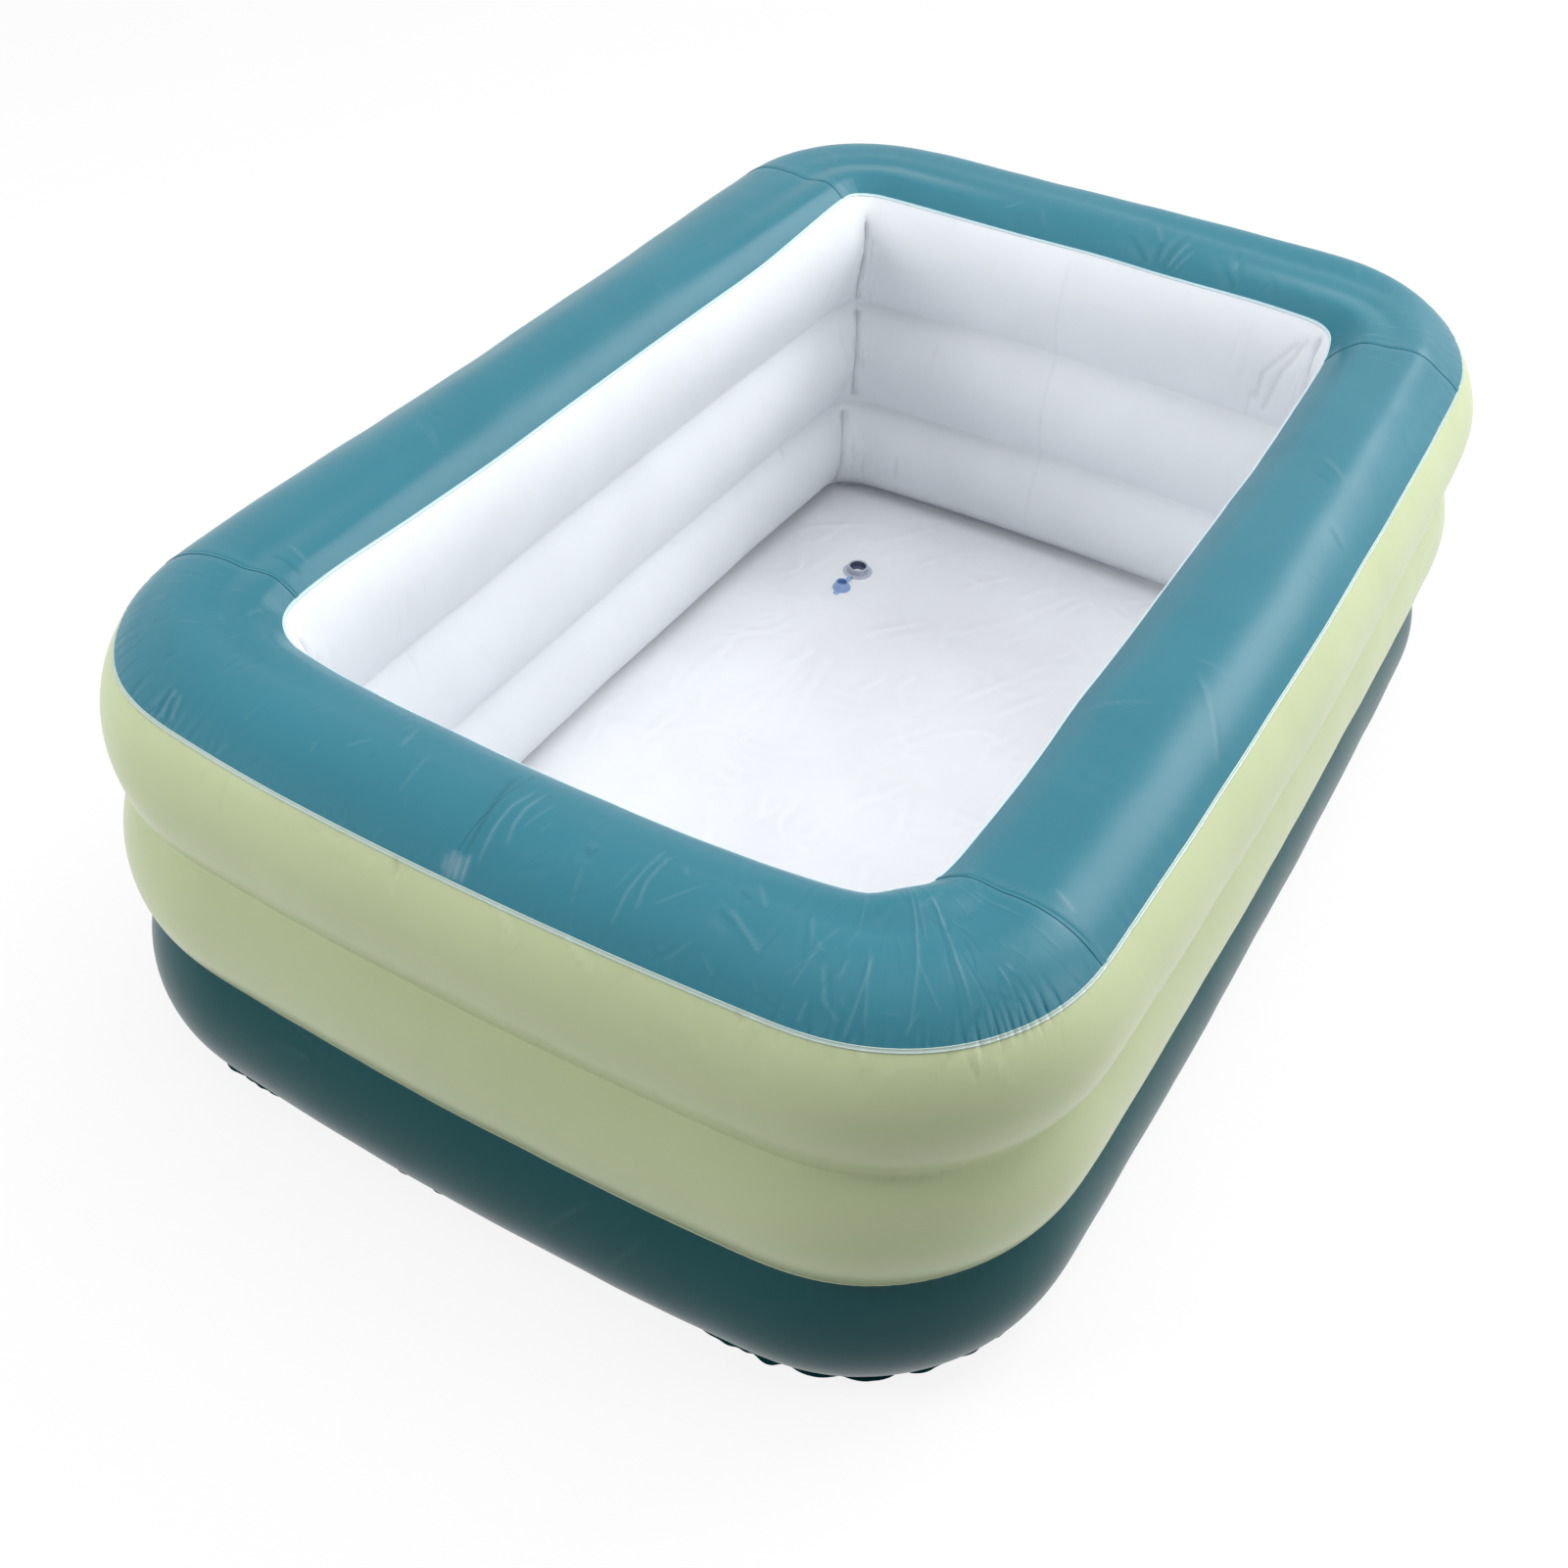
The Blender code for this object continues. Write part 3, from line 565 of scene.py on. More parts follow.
# How close together the columns are: (place, density)
OUTER_DENSITY = (
    (0, 1.9), (0.1, 0.9), (0.9, 0.7), (1, 1.2), (1.5, 1.4), (2, 1.4), (2.15, 1.4), (2.85, 0.8),
    (3, 1.0), (3.5, 1.1), (4, 1.0), (4.08, 0.6), (4.92, 0.7), (5, 1.6), (5.5, 2.4), (6, 2.4),
    (6.1, 1.9), (6.4, 2.0), (6.6, 2.4), (6.9, 2.2), (7, 2.6), (7.35, 4.2), (7.5, 5.2), (7.8, 5.0),
    (7.95, 3.0), (8, 1.9),
)
INNER_DENSITY = (
    (0, 0.6), (0.8, 0.6), (1, 1.2), (1.3, 1.8), (1.7, 2.4), (2.1, 2.2), (2.3, 1.4), (2.8, 1.4), (3, 2.2),
    (3.3, 2.6), (3.8, 2.6), (4.1, 2.0), (4.3, 0.9), (4.8, 0.7), (5, 1.0), (5.5, 1.3), (6, 0.8), (7, 0.8),
    (7.5, 1.2), (8, 0.6),
)
OUTER_COLUMNS = 1650
LOW_COLUMNS = 1100
INNER_COLUMNS = 1050


def columns(wall, count, densities=OUTER_DENSITY):
    """Runs of a closed film's columns, from its closing place once round."""
    places, densities = zip(*densities)
    start = wall.run(CLOSING_PLACE)
    fine = start + np.linspace(0, wall.length, PATH_POINTS + 1)
    density = np.interp(wall.place(fine), places, densities)
    total = np.concatenate(([0], np.cumsum((density[1:] + density[:-1]) / 2)))
    return np.interp(np.linspace(0, total[-1], count + 1), total, fine)


def columns_between(wall, count, start, end):
    """The closed film's columns from one place to another, with both of them added."""
    low = wall.run(start)
    high = low + (wall.run(end) - low) % wall.length
    runs = low + (columns(wall, count)[:-1] - low) % wall.length
    inside = np.sort(runs[(runs > low + EDGE_MARGIN) & (runs < high - EDGE_MARGIN)])
    return np.concatenate(([low], inside, [high]))


EDGE_MARGIN = 1 * MM


def rows(low, high, count, focus=(), boost=2.0, reach=20 * MM):
    """Drops from low to high, closer together near the drops in focus."""
    fine = np.linspace(low, high, 2000)
    density = np.ones_like(fine)
    for place in focus:
        density += boost * np.exp(-(((fine - place) / reach) ** 2))
    total = np.concatenate(([0], np.cumsum((density[1:] + density[:-1]) / 2)))
    return np.interp(np.linspace(0, total[-1], count + 1), total, fine)


# Folds, puckers, creases and waves on the chart

def window(values, low, high):
    found = np.nonzero((values >= low) & (values <= high))[0]
    return slice(found[0], found[-1] + 1) if len(found) else None


class Relief:
    """How far a film rises from the plain section, at its rows and columns."""

    def __init__(self, wall, runs, drops):
        self.wall = wall
        self.runs = runs
        self.drops = drops
        self.rise = np.zeros((len(drops), len(runs)))

    def add(self, rows, columns, rise):
        self.rise[rows, columns] += rise

    def waves(self, seed, height, shortest, longest, count=46):
        """Slow waves in all directions, that meet themselves after one way round."""
        draw = np.random.RandomState(seed)
        total = np.zeros_like(self.rise)
        for _ in range(count):
            length = math.exp(draw.uniform(math.log(shortest), math.log(longest)))
            turn = draw.uniform(0, math.pi)
            times = round(math.cos(turn) * self.wall.length / length)
            phase = draw.uniform(0, 2 * math.pi)
            around = 2 * math.pi * times * self.runs / self.wall.length
            down = 2 * math.pi * math.sin(turn) * self.drops / length
            total += length / longest * np.sin(around[None, :] + down[:, None] + phase)
        self.rise += total * height / math.sqrt(count / 6)

    def crease(self, spots, height, width):
        """A sharp ridge, or a valley if height is below 0, through spots given as (place, level)."""
        wall = self.wall
        runs = [wall.run(place) for place, _ in spots]
        drops = [wall.drop(level) for _, level in spots]
        start = runs[0]
        xs = np.array([wall.apart(run, start) for run in runs])
        ys = np.array(drops)
        stretch = wall.stretch(start + xs.mean(), ys.mean())
        xs = xs * stretch
        margin = 5 * width
        found_rows = window(self.drops, ys.min() - margin, ys.max() + margin)
        x_all = wall.apart(self.runs, start) * stretch
        found = np.nonzero((x_all > xs.min() - margin) & (x_all < xs.max() + margin))[0]
        if found_rows is None or not len(found):
            return
        x = x_all[found][None, :]
        y = self.drops[found_rows][:, None]
        ways = np.hypot(np.diff(xs), np.diff(ys))
        whole = ways.sum()
        nearest = np.full(np.broadcast(x, y).shape, 1.0)
        along = np.zeros_like(nearest)
        done = 0.0
        for i, way in enumerate(ways):
            step_x, step_y = (xs[i + 1] - xs[i]) / way, (ys[i + 1] - ys[i]) / way
            share = np.clip((x - xs[i]) * step_x + (y - ys[i]) * step_y, 0, way)
            away = np.hypot(x - xs[i] - share * step_x, y - ys[i] - share * step_y)
            closer = away < nearest
            nearest = np.where(closer, away, nearest)
            along = np.where(closer, (done + share) / whole, along)
            done += way
        fade = np.sqrt(np.clip(4 * along * (1 - along), 0, 1))
        self.add(found_rows, found, height * np.exp(-nearest / width) * fade)

    def fold(self, spots, depth, width, run_out=14 * MM):
        """A deep fold down the wall, its width true at every row. Spots are (place, level)."""
        wall = self.wall
        fold_drops = np.array([wall.drop(level) for _, level in spots])
        low, high = fold_drops[0], fold_drops[-1]
        found = window(self.drops, low, high)
        if found is None:
            return
        drops = self.drops[found]
        fold_runs = np.interp(drops, fold_drops, [wall.run(place) for place, _ in spots])
        ends = np.clip(np.minimum(drops - low, high - drops) / run_out, 0, 1)
        fade = np.sin(ends * math.pi / 2) ** 1.5
        stretch = wall.stretch(fold_runs, drops)
        away = np.abs(wall.apart(self.runs[None, :], fold_runs[:, None])) * stretch[:, None]
        self.rise[found] -= depth * fade[:, None] * np.exp(-away / width)

    def pucker(self, run, seam, reach_up, reach_down, depth, width, lean=0.0):
        """A valley across a seam, deepest there, that widens and runs out on both sides."""
        wall = self.wall
        low, high = seam - PUCKER_REACH * reach_down, seam + PUCKER_REACH * reach_up
        found_rows = window(self.drops, low, high)
        if found_rows is None:
            return
        away = self.drops[found_rows] - seam
        ratio = np.abs(away) / np.where(away > 0, reach_up, reach_down)
        x = wall.apart(self.runs, run) * wall.stretch(run, seam)
        widest = PUCKER_SIDE * width + abs(lean) * PUCKER_REACH * max(reach_up, reach_down)
        found = np.nonzero(np.abs(x) <= widest)[0]
        if not len(found):
            return
        wide = width * (0.55 + 0.9 * ratio)
        beside = np.abs(x[found][None, :] - lean * away[:, None])
        fade = np.exp(-(ratio[:, None] ** 1.5)) * np.exp(-beside / wide[:, None])
        self.add(found_rows, found, -depth * fade)


PUCKER_REACH = 2.4  # how far along a pucker is drawn, in its own reach
PUCKER_SIDE = 6  # and how far beside its line, in its own width
PUCKER_DEPTHS = (0.15, 1.1)  # least and most, as shares of the depth at that place
PUCKER_LENGTHS = (0.4, 1.5)
PUCKER_WIDTHS = (1.8, 4.2)  # millimetres
PUCKER_LEANS = (-0.35, 0.35)
PUCKER_SPACINGS = (0.5, 1.5)
SIDE_SPACING = 44 * MM
CORNER_SPACING = 15 * MM
CORNER_END = 0.72  # places from a corner where its puckers end
CORNER_FADE = 0.3


def corner_share(place):
    """1 in the middle of a corner, 0 on the straight sides."""
    away = abs((place - 0.5) % 2 - 1)
    return min(1.0, max(0.0, (CORNER_END - away) / CORNER_FADE))


def seam_puckers(relief, seed, level, reach_up, reach_down, corner_depth, side_depth, strong=()):
    """Puckers along a whole seam: close and deep at the corners, few and faint on the sides."""
    wall = relief.wall
    draw = np.random.RandomState(seed)
    seam = wall.drop(level)
    run = 0.0
    while run < wall.length:
        place = float(wall.place(run))
        share = corner_share(place)
        for centre, half, most in strong:
            away = abs((place - centre + STRETCHES / 2) % STRETCHES - STRETCHES / 2)
            share = max(share, most * max(0.0, 1 - away / half))
        depth = (side_depth * (1 - share) + corner_depth * share) * draw.uniform(*PUCKER_DEPTHS)
        longer = draw.uniform(*PUCKER_LENGTHS)
        width = draw.uniform(*PUCKER_WIDTHS) * MM
        lean = draw.uniform(*PUCKER_LEANS)
        relief.pucker(run, seam, reach_up * longer, reach_down * longer, depth, width, lean)
        spacing = SIDE_SPACING * (1 - share) + CORNER_SPACING * share
        run += spacing * draw.uniform(*PUCKER_SPACINGS) / wall.stretch(run, seam)


def small_creases(relief, seed, count, places, levels, lengths, height, upright=0.5, width=2.6 * MM):
    """Short faint creases at random: all upright at 1, in any direction at 0."""
    draw = np.random.RandomState(seed)
    wall = relief.wall
    for _ in range(count):
        place = draw.uniform(*places)
        level = draw.uniform(*levels)
        length = draw.uniform(*lengths)
        turn = math.pi / 2 + draw.normal() * (1 - upright) * 1.2
        high = height * draw.uniform(-1, 1)
        wide = width * draw.uniform(0.6, 1.4)
        run, drop = wall.run(place), wall.drop(level)
        run_end = run + math.cos(turn) * length / wall.stretch(run, drop)
        end = (float(wall.place(run_end)), float(wall.level(drop + math.sin(turn) * length)))
        relief.crease(((place, level), end), high, wide)


# Ridges and valleys seen on the top panels: spots (place, level), then height as a share of a ridge's
TOP_RIDGES = (
    (((7.50, 3.96), (7.42, 3.50), (7.36, 3.04)), 0.9),
    (((7.53, 3.92), (7.47, 3.55)), 0.6),
    (((7.61, 3.79), (7.55, 3.42), (7.54, 3.04)), 0.9),
    (((7.58, 3.75), (7.52, 3.40), (7.505, 3.06)), -0.6),
    (((7.235, 3.52), (7.255, 3.05)), 0.8),
    (((7.25, 3.48), (7.205, 3.02)), 0.8),
    (((7.09, 3.36), (7.13, 3.18), (7.19, 3.08)), 0.6),
    (((7.02, 3.36), (7.09, 3.62)), 0.5),
    (((6.885, 3.46), (6.955, 3.28)), 0.9),
    (((6.87, 3.43), (6.905, 3.36)), -1.2),
    (((6.88, 3.60), (6.90, 3.56)), -1.2),
    (((6.895, 3.70), (6.925, 3.55)), 0.7),
    (((7.15, 3.85), (7.17, 3.62), (7.14, 3.45)), 0.4),
    (((6.512, 3.14), (6.505, 3.36), (6.495, 3.55), (6.487, 3.78)), -1.6),
    (((6.537, 3.12), (6.527, 3.34), (6.523, 3.52), (6.530, 3.72)), 0.8),
    (((6.558, 3.28), (6.547, 3.42), (6.542, 3.56), (6.545, 3.74)), 0.7),
    (((6.57, 3.66), (6.56, 3.40)), 0.5),
    (((6.655, 3.47), (6.668, 3.43), (6.672, 3.49)), -1.3),
    (((6.752, 3.68), (6.747, 3.32), (6.752, 3.12)), 0.9),
    (((6.765, 3.64), (6.762, 3.42), (6.772, 3.24)), 0.9),
    (((6.30, 3.78), (6.315, 3.56)), 0.8),
    (((6.36, 3.60), (6.37, 3.30)), 0.5),
    (((5.845, 3.20), (5.87, 3.03)), -1.6),
    (((5.862, 3.22), (5.892, 3.03)), 1.2),
    (((5.88, 3.17), (5.917, 3.02)), -1.6),
    (((5.90, 3.21), (5.94, 3.04)), 1.0),
    (((5.54, 3.80), (5.40, 3.88)), 0.5),
    (((4.975, 3.70), (4.98, 3.92)), -1.0),
    (((4.955, 3.72), (4.965, 3.90)), 0.7),
    (((2.46, 3.72), (2.395, 3.95)), -1.2),
    (((2.418, 3.52), (2.385, 3.70)), 0.8),
    (((2.385, 3.72), (2.375, 3.96)), -1.3),
    (((2.343, 3.50), (2.352, 3.72), (2.36, 3.97)), -1.2),
    (((2.33, 3.62), (2.345, 3.94)), 1.2),
    (((2.31, 3.70), (2.33, 3.97)), 1.0),
    (((2.25, 3.70), (2.185, 3.97)), -1.1),
    (((2.228, 3.52), (2.172, 3.92)), -1.0),
    (((2.21, 3.60), (2.205, 3.80)), 0.8),
    (((2.13, 3.72), (2.09, 3.92)), -0.8),
    (((0.33, 3.50), (0.29, 3.30), (0.24, 3.08)), 0.8),
    (((0.24, 3.90), (0.27, 3.60)), 0.5),
    (((0.73, 3.60), (0.70, 3.40)), 0.7),
    (((0.70, 3.62), (0.685, 3.48)), -0.7),
    (((0.62, 3.32), (0.60, 3.14)), -0.8),
)

# Creases of the light green film under the seam
WALL_RIDGES = (
    (((6.59, 2.99), (6.61, 2.94), (6.635, 2.85)), 1.8),
    (((6.70, 2.99), (6.755, 2.88)), 1.5),
    (((6.42, 2.99), (6.432, 2.90)), -2.0),
    (((6.975, 2.985), (6.99, 2.95)), 1.4),
    (((6.955, 2.985), (6.97, 2.94)), -1.4),
    (((7.252, 2.99), (7.265, 2.90)), 1.3),
    (((7.39, 2.95), (7.29, 2.87)), 0.7),
    (((7.53, 2.99), (7.532, 2.86)), 1.0),
    (((7.505, 2.94), (7.53, 2.82)), -1.0),
    (((7.56, 2.90), (7.60, 2.80)), 0.6),
    (((7.18, 2.80), (7.30, 2.76)), 0.5),
    (((7.02, 2.90), (7.12, 2.84)), 0.5),
    (((6.80, 2.72), (6.92, 2.60)), 0.5),
    (((6.86, 2.86), (6.98, 2.70)), 0.6),
    (((5.95, 1.96), (6.02, 1.93)), 0.5),
)

# Places of the deep wedges beside the outer seam, and their depth as a share of a pucker's
SEAM_WEDGES = (
    (7.505, 0.7), (7.543, 1.3), (7.572, 0.6), (7.597, 1.3), (7.617, 0.7), (7.638, 1.2), (7.66, 0.5),
    (7.683, 1.1), (7.712, 0.8), (7.745, 1.0), (7.79, 0.5), (7.40, 0.6), (7.30, 0.4), (5.86, 0.9),
    (5.89, 1.1), (5.915, 0.9), (5.60, 0.6), (5.42, 0.7), (5.30, 0.6), (1.62, 0.8), (1.40, 0.9),
)

# Folds down the inner corners: spots (place, level), then depth as a share of a fold's
INNER_FOLDS = (
    (((3.58, 4.16), (3.60, 4.45), (3.56, 4.75), (3.47, 5.00)), 1.0),
    (((3.47, 5.02), (3.50, 5.35), (3.51, 5.65), (3.42, 5.96)), 1.0),
    (((3.62, 6.04), (3.70, 6.35), (3.71, 6.65), (3.64, 6.97)), 1.0),
    (((1.70, 4.05), (1.56, 4.40), (1.50, 4.95)), 0.8),
    (((1.90, 4.10), (2.02, 4.40), (2.05, 4.85)), 0.28),
    (((1.99, 4.14), (2.06, 4.45), (2.07, 4.75)), 0.22),
    (((1.52, 5.03), (1.48, 5.50), (1.52, 5.97)), 0.9),
    (((1.50, 6.03), (1.46, 6.50), (1.50, 6.97)), 0.9),
    (((5.46, 4.10), (5.50, 4.55), (5.54, 4.98)), 0.9),
    (((5.52, 5.03), (5.50, 5.50), (5.47, 5.97)), 0.9),
    (((5.50, 6.03), (5.53, 6.50), (5.50, 6.97)), 0.9),
    (((5.98, 4.12), (6.02, 4.35), (6.01, 4.70)), 0.22),
    (((6.05, 4.16), (6.07, 4.42), (6.05, 4.66)), 0.18),
    (((7.52, 4.10), (7.48, 4.55), (7.50, 4.98)), 0.9),
    (((7.48, 5.03), (7.52, 5.50), (7.50, 5.97)), 0.9),
    (((7.50, 6.03), (7.47, 6.50), (7.50, 6.97)), 0.9),
)

# Welds across the top ring: place, groove depth in millimetres
CROSS_WELDS = ((0.0, 1.5), (1.0, 1.0), (4.0, 0.8), (5.0, 1.1))


# Puckers along the seams: seed, level, reach up and down in millimetres, depth at the corners and on the
# sides as shares of a pucker's, then stronger stretches (place, half width, share)
SEAM_PUCKERS = (
    (21, 3, 24, 10, 0.7, 0.14, ((6.9, 0.4, 0.4),)),
    (22, 4, 22, 14, 0.20, 0.08, ((2.3, 0.5, 0.6),)),
    (23, 2, 12, 12, 0.30, 0.08, ()),
    (24, 1, 12, 12, 0.30, 0.08, ()),
)

# Fields of small creases: seed, count, places, levels, lengths and height in millimetres, how upright,
# width in millimetres
SMALL_CREASES = (
    (51, 150, (6.0, 8.0), (3.02, 3.9), (12, 70), 0.6, 0.6, 2.0),
    (52, 150, (0.0, 6.0), (3.02, 3.9), (12, 60), 0.5, 0.6, 2.6),
    (53, 90, (6.0, 7.8), (2.7, 2.97), (20, 70), 0.5, 0.3, 2.6),
    (57, 16, (6.2, 7.8), (2.1, 2.6), (30, 90), 0.35, 0.1, 3.2),
    (54, 40, (0.0, 6.2), (2.1, 2.95), (30, 90), 0.3, 0.3, 3.6),
    (55, 30, (0.0, 8.0), (0.2, 1.9), (30, 90), 0.3, 0.2, 3.6),
    (56, 200, (0.0, 8.0), (4.05, 6.95), (20, 80), 0.5, 0.7, 2.6),
)
CORNER_CREASES = (25 * MM, 90 * MM)
CORNER_CREASE_HEIGHT = 1.4 * MM
CORNER_CREASE_COUNT = 44
CORNER_CREASE_REACH = 0.66  # places to each side of the corner
CORNER_CREASE_LEVELS = ((4.12, 4.85), (5.1, 5.9), (6.1, 6.9))
CORNER_CREASE_UPRIGHT = 0.95
CROSS_LEVELS = (2.99, 3.3, 3.7, 4.0)  # of a cross weld's groove, from seam to seam
FILM_WAVES = (60 * MM, 420 * MM)
WEDGE_UP = 26 * MM
WEDGE_DOWN = 8 * MM
WEDGE_WIDTH = 2.2 * MM
CROSS_GROOVE = 4.5 * MM
INNER_JOIN = ((2.56, 4.02), (2.56, 5.0), (2.56, 6.0), (2.56, 6.98))
JOIN_DEPTH = 0.7 * MM
JOIN_WIDTH = 2.2 * MM


def whole_relief(wall, runs, drops):
    """The one relief that all films of the wall share, so that they keep together at their welds."""
    fold = folds()
    relief = Relief(wall, runs, drops)
    relief.waves(11, fold.wave_height, *FILM_WAVES)
    slow = relief.rise.copy()
    deep = fold.pucker_depth
    for seed, level, up, down, corner, side, strong in SEAM_PUCKERS:
        seam_puckers(relief, seed, level, up * MM, down * MM, deep * corner, deep * side, strong)
    seam = wall.drop(3)
    for place, share in SEAM_WEDGES:
        relief.pucker(wall.run(place), seam, WEDGE_UP, WEDGE_DOWN, deep * share, WEDGE_WIDTH)
    for spots, share in TOP_RIDGES + WALL_RIDGES:
        relief.crease(spots, fold.ridge_height * share, fold.ridge_width)
    for place, depth in CROSS_WELDS:
        line = tuple((place, level) for level in CROSS_LEVELS)
        relief.crease(line, -depth * MM, CROSS_GROOVE)
    for spots, share in INNER_FOLDS:
        relief.fold(spots, fold.fold_depth * share, fold.fold_width)
    for corner in CORNERS:
        places = (corner - CORNER_CREASE_REACH, corner + CORNER_CREASE_REACH)
        for levels in CORNER_CREASE_LEVELS:
            seed = round(10 * corner + levels[0])
            small_creases(
                relief, seed, CORNER_CREASE_COUNT, places, levels, CORNER_CREASES,
                CORNER_CREASE_HEIGHT, CORNER_CREASE_UPRIGHT,
            )
    for seed, count, places, levels, lengths, height, upright, width in SMALL_CREASES:
        lengths = (lengths[0] * MM, lengths[1] * MM)
        small_creases(relief, seed, count, places, levels, lengths, height * MM, upright, width * MM)
    relief.crease(INNER_JOIN, -JOIN_DEPTH, JOIN_WIDTH)
    relief.sharp = relief.rise - slow
    return relief


# Films

def grid_piece(name, points, runs, drops, closed=False):
    """A grid shaped to points, given as rows by columns, with the chart as its UV map."""
    deselect_all()
    bpy.ops.mesh.primitive_grid_add(x_subdivisions=len(runs) - 1, y_subdivisions=len(drops) - 1, size=1)
    piece = bpy.context.active_object
    rename(piece, name)
    mesh = piece.data
    flat = np.empty(len(mesh.vertices) * 3)
    mesh.vertices.foreach_get("co", flat)
    flat = flat.reshape(-1, 3)
    column = np.rint((flat[:, 0] + 0.5) * (len(runs) - 1)).astype(int)
    row = np.rint((flat[:, 1] + 0.5) * (len(drops) - 1)).astype(int)
    mesh.vertices.foreach_set("co", points[row, column].ravel())
    corners = np.empty(len(mesh.loops), dtype=np.int32)
    mesh.loops.foreach_get("vertex_index", corners)
    chart = np.stack((runs[column[corners]], drops[row[corners]]), axis=-1)
    mesh.uv_layers[0].data.foreach_set("uv", chart.ravel())
    mesh.update()
    if closed:
        edit_all(piece)
        bpy.ops.mesh.remove_doubles(threshold=MERGE)
        to_object()
    return piece


MERGE = 0.02 * MM


# Painted light on the folds: how it is drawn from the relief.
MARK_HEIGHT = 0.6 * MM  # of a crease above the film beside it, that is marked in full
FOLD_SHARE = 0.4  # of a whole mark, on such a crease
MARK_REACH = 4  # how many rows and columns of the film beside it


def beside(values):
    """Mean of a grid's values over the rows and columns near each."""
    wide = 2 * MARK_REACH + 1
    for _ in range(2):
        padded = np.pad(values, ((MARK_REACH, MARK_REACH), (0, 0)), "edge")
        total = np.cumsum(np.concatenate((np.zeros((1, padded.shape[1])), padded)), axis=0)
        values = ((total[wide:] - total[:-wide]) / wide).T
    return values


def paint_fold_light(piece, runs, drops, rise, painted_strokes=0):
    """Keep how far each point stands above the film beside it, for painted light on the folds: paler
    crests (stress whitening and painted highlight) and darker hollows (painted shade).
    """
    marks = np.clip((rise - beside(rise)) / MARK_HEIGHT, -1, 1) * FOLD_SHARE + painted_strokes
    mesh = piece.data
    chart = np.empty(len(mesh.loops) * 2)
    mesh.uv_layers[0].data.foreach_get("uv", chart)
    chart = chart.reshape(-1, 2)
    corners = np.empty(len(mesh.loops), dtype=np.int32)
    mesh.loops.foreach_get("vertex_index", corners)
    column = np.searchsorted((runs[1:] + runs[:-1]) / 2, chart[:, 0])
    row = np.searchsorted((drops[1:] + drops[:-1]) / 2, chart[:, 1])
    values = np.zeros(len(mesh.vertices))
    values[corners] = marks[row, column]
    layer = mesh.attributes.new("painted_fold_light", "FLOAT", "POINT")
    layer.data.foreach_set("value", values)


# Pale strokes of painted highlight on the film, and dark strokes of painted shade in a weld's groove:
# spots (place, level), strength, ridge widths
PAINTED_LIGHT_STROKES = (
    (((6.503, 3.00), (6.497, 3.16)), 1.1, 1.6),
    (((6.515, 3.01), (6.508, 3.14)), 1.4, 1.1),
    (((6.526, 3.01), (6.519, 3.17)), 1.3, 0.7),
    (((6.492, 3.03), (6.488, 3.12)), 0.6, 0.9),
    (((6.513, 3.16), (6.505, 3.36), (6.495, 3.55), (6.487, 3.75)), -0.7, 3.6),
    (((6.535, 3.16), (6.527, 3.34), (6.523, 3.52), (6.530, 3.69)), 0.35, 0.8),
    (((6.556, 3.30), (6.547, 3.42), (6.542, 3.56), (6.545, 3.70)), 0.3, 0.8),
    (((0.022, 3.42), (0.012, 3.28)), 0.9, 0.9),
)


# Pale painted-highlight strokes and dark painted-shade strokes, as heights over the chart.
def painted_light_strokes(wall, runs, drops):
    painted_strokes = Relief(wall, runs, drops)
    for spots, strength, width in PAINTED_LIGHT_STROKES:
        painted_strokes.crease(spots, strength, width * folds().ridge_width)
    return painted_strokes.rise


def film_piece(name, wall, runs, drops, lift=0, closed=False, shape=None, thickness=None):
    """A film over a patch of the chart, with the shared relief and its real thickness."""
    relief = whole_relief(wall, runs, drops)
    points = wall.points(runs, drops, relief.rise + lift)
    if shape:
        points = shape(points)
    on_floor_film = 3 * sizes().film / 2 + sizes().gap
    points[..., 2] = np.maximum(points[..., 2], on_floor_film)
    piece = grid_piece(name, points, runs, drops, closed)
    # Painted light on the folds and strokes, kept as a point attribute for the colour.
    paint_fold_light(piece, runs, drops, relief.sharp, painted_light_strokes(wall, runs, drops))
    apply_modifier(piece, "SOLIDIFY", thickness=thickness or sizes().film, offset=0)
    smooth(piece, 60)
    return piece


def tucked(drops, seam, depth):
    """Lift that tucks a film's lap under the film above it, beyond the seam."""
    return -depth * np.clip((drops - seam) / (2 * MM), 0, 1)[:, None]


def valve_spots():
    """Each valve's name, level above the ground and the flat film's distance along +Y."""
    size = sizes()
    fit = fittings()
    spots = []
    for level in ("lower", "middle", "upper"):
        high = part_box(f"{level}_check_flap")[1]
        z = high[2] - fit.flap_hinge + size.gap
        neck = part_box(f"{level}_valve_body")[1][1]
        spots.append((level, z, neck - size.film / 2 - fit.valve_outside))
    return spots


def flat_at_valves(points):
    """The outer film lies flat where a valve's flange is welded to it."""
    fit = fittings()
    for _, z, wall_y in valve_spots():
        away = np.hypot(points[..., 0], points[..., 2] - z)
        share = np.clip((fit.flat_run_out - away) / (fit.flat_run_out - fit.flat_radius), 0, 1)
        share = share * share * (3 - 2 * share) * (points[..., 1] > 0)
        points[..., 1] += (wall_y - points[..., 1]) * share
    return points


def cut_valve_holes(piece, levels):
    fit = fittings()
    for level, z, wall_y in valve_spots():
        if level not in levels:
            continue
        deselect_all()
        bpy.ops.mesh.primitive_cylinder_add(
            vertices=48,
            radius=fit.valve_neck + sizes().gap,
            depth=4 * fit.valve_outside,
            location=(0, wall_y, z),
            rotation=(math.pi / 2, 0, 0),
        )
        cutter = bpy.context.active_object
        apply_modifier(piece, "BOOLEAN", object=cutter, operation="DIFFERENCE", solver="EXACT")
        bpy.data.objects.remove(cutter)


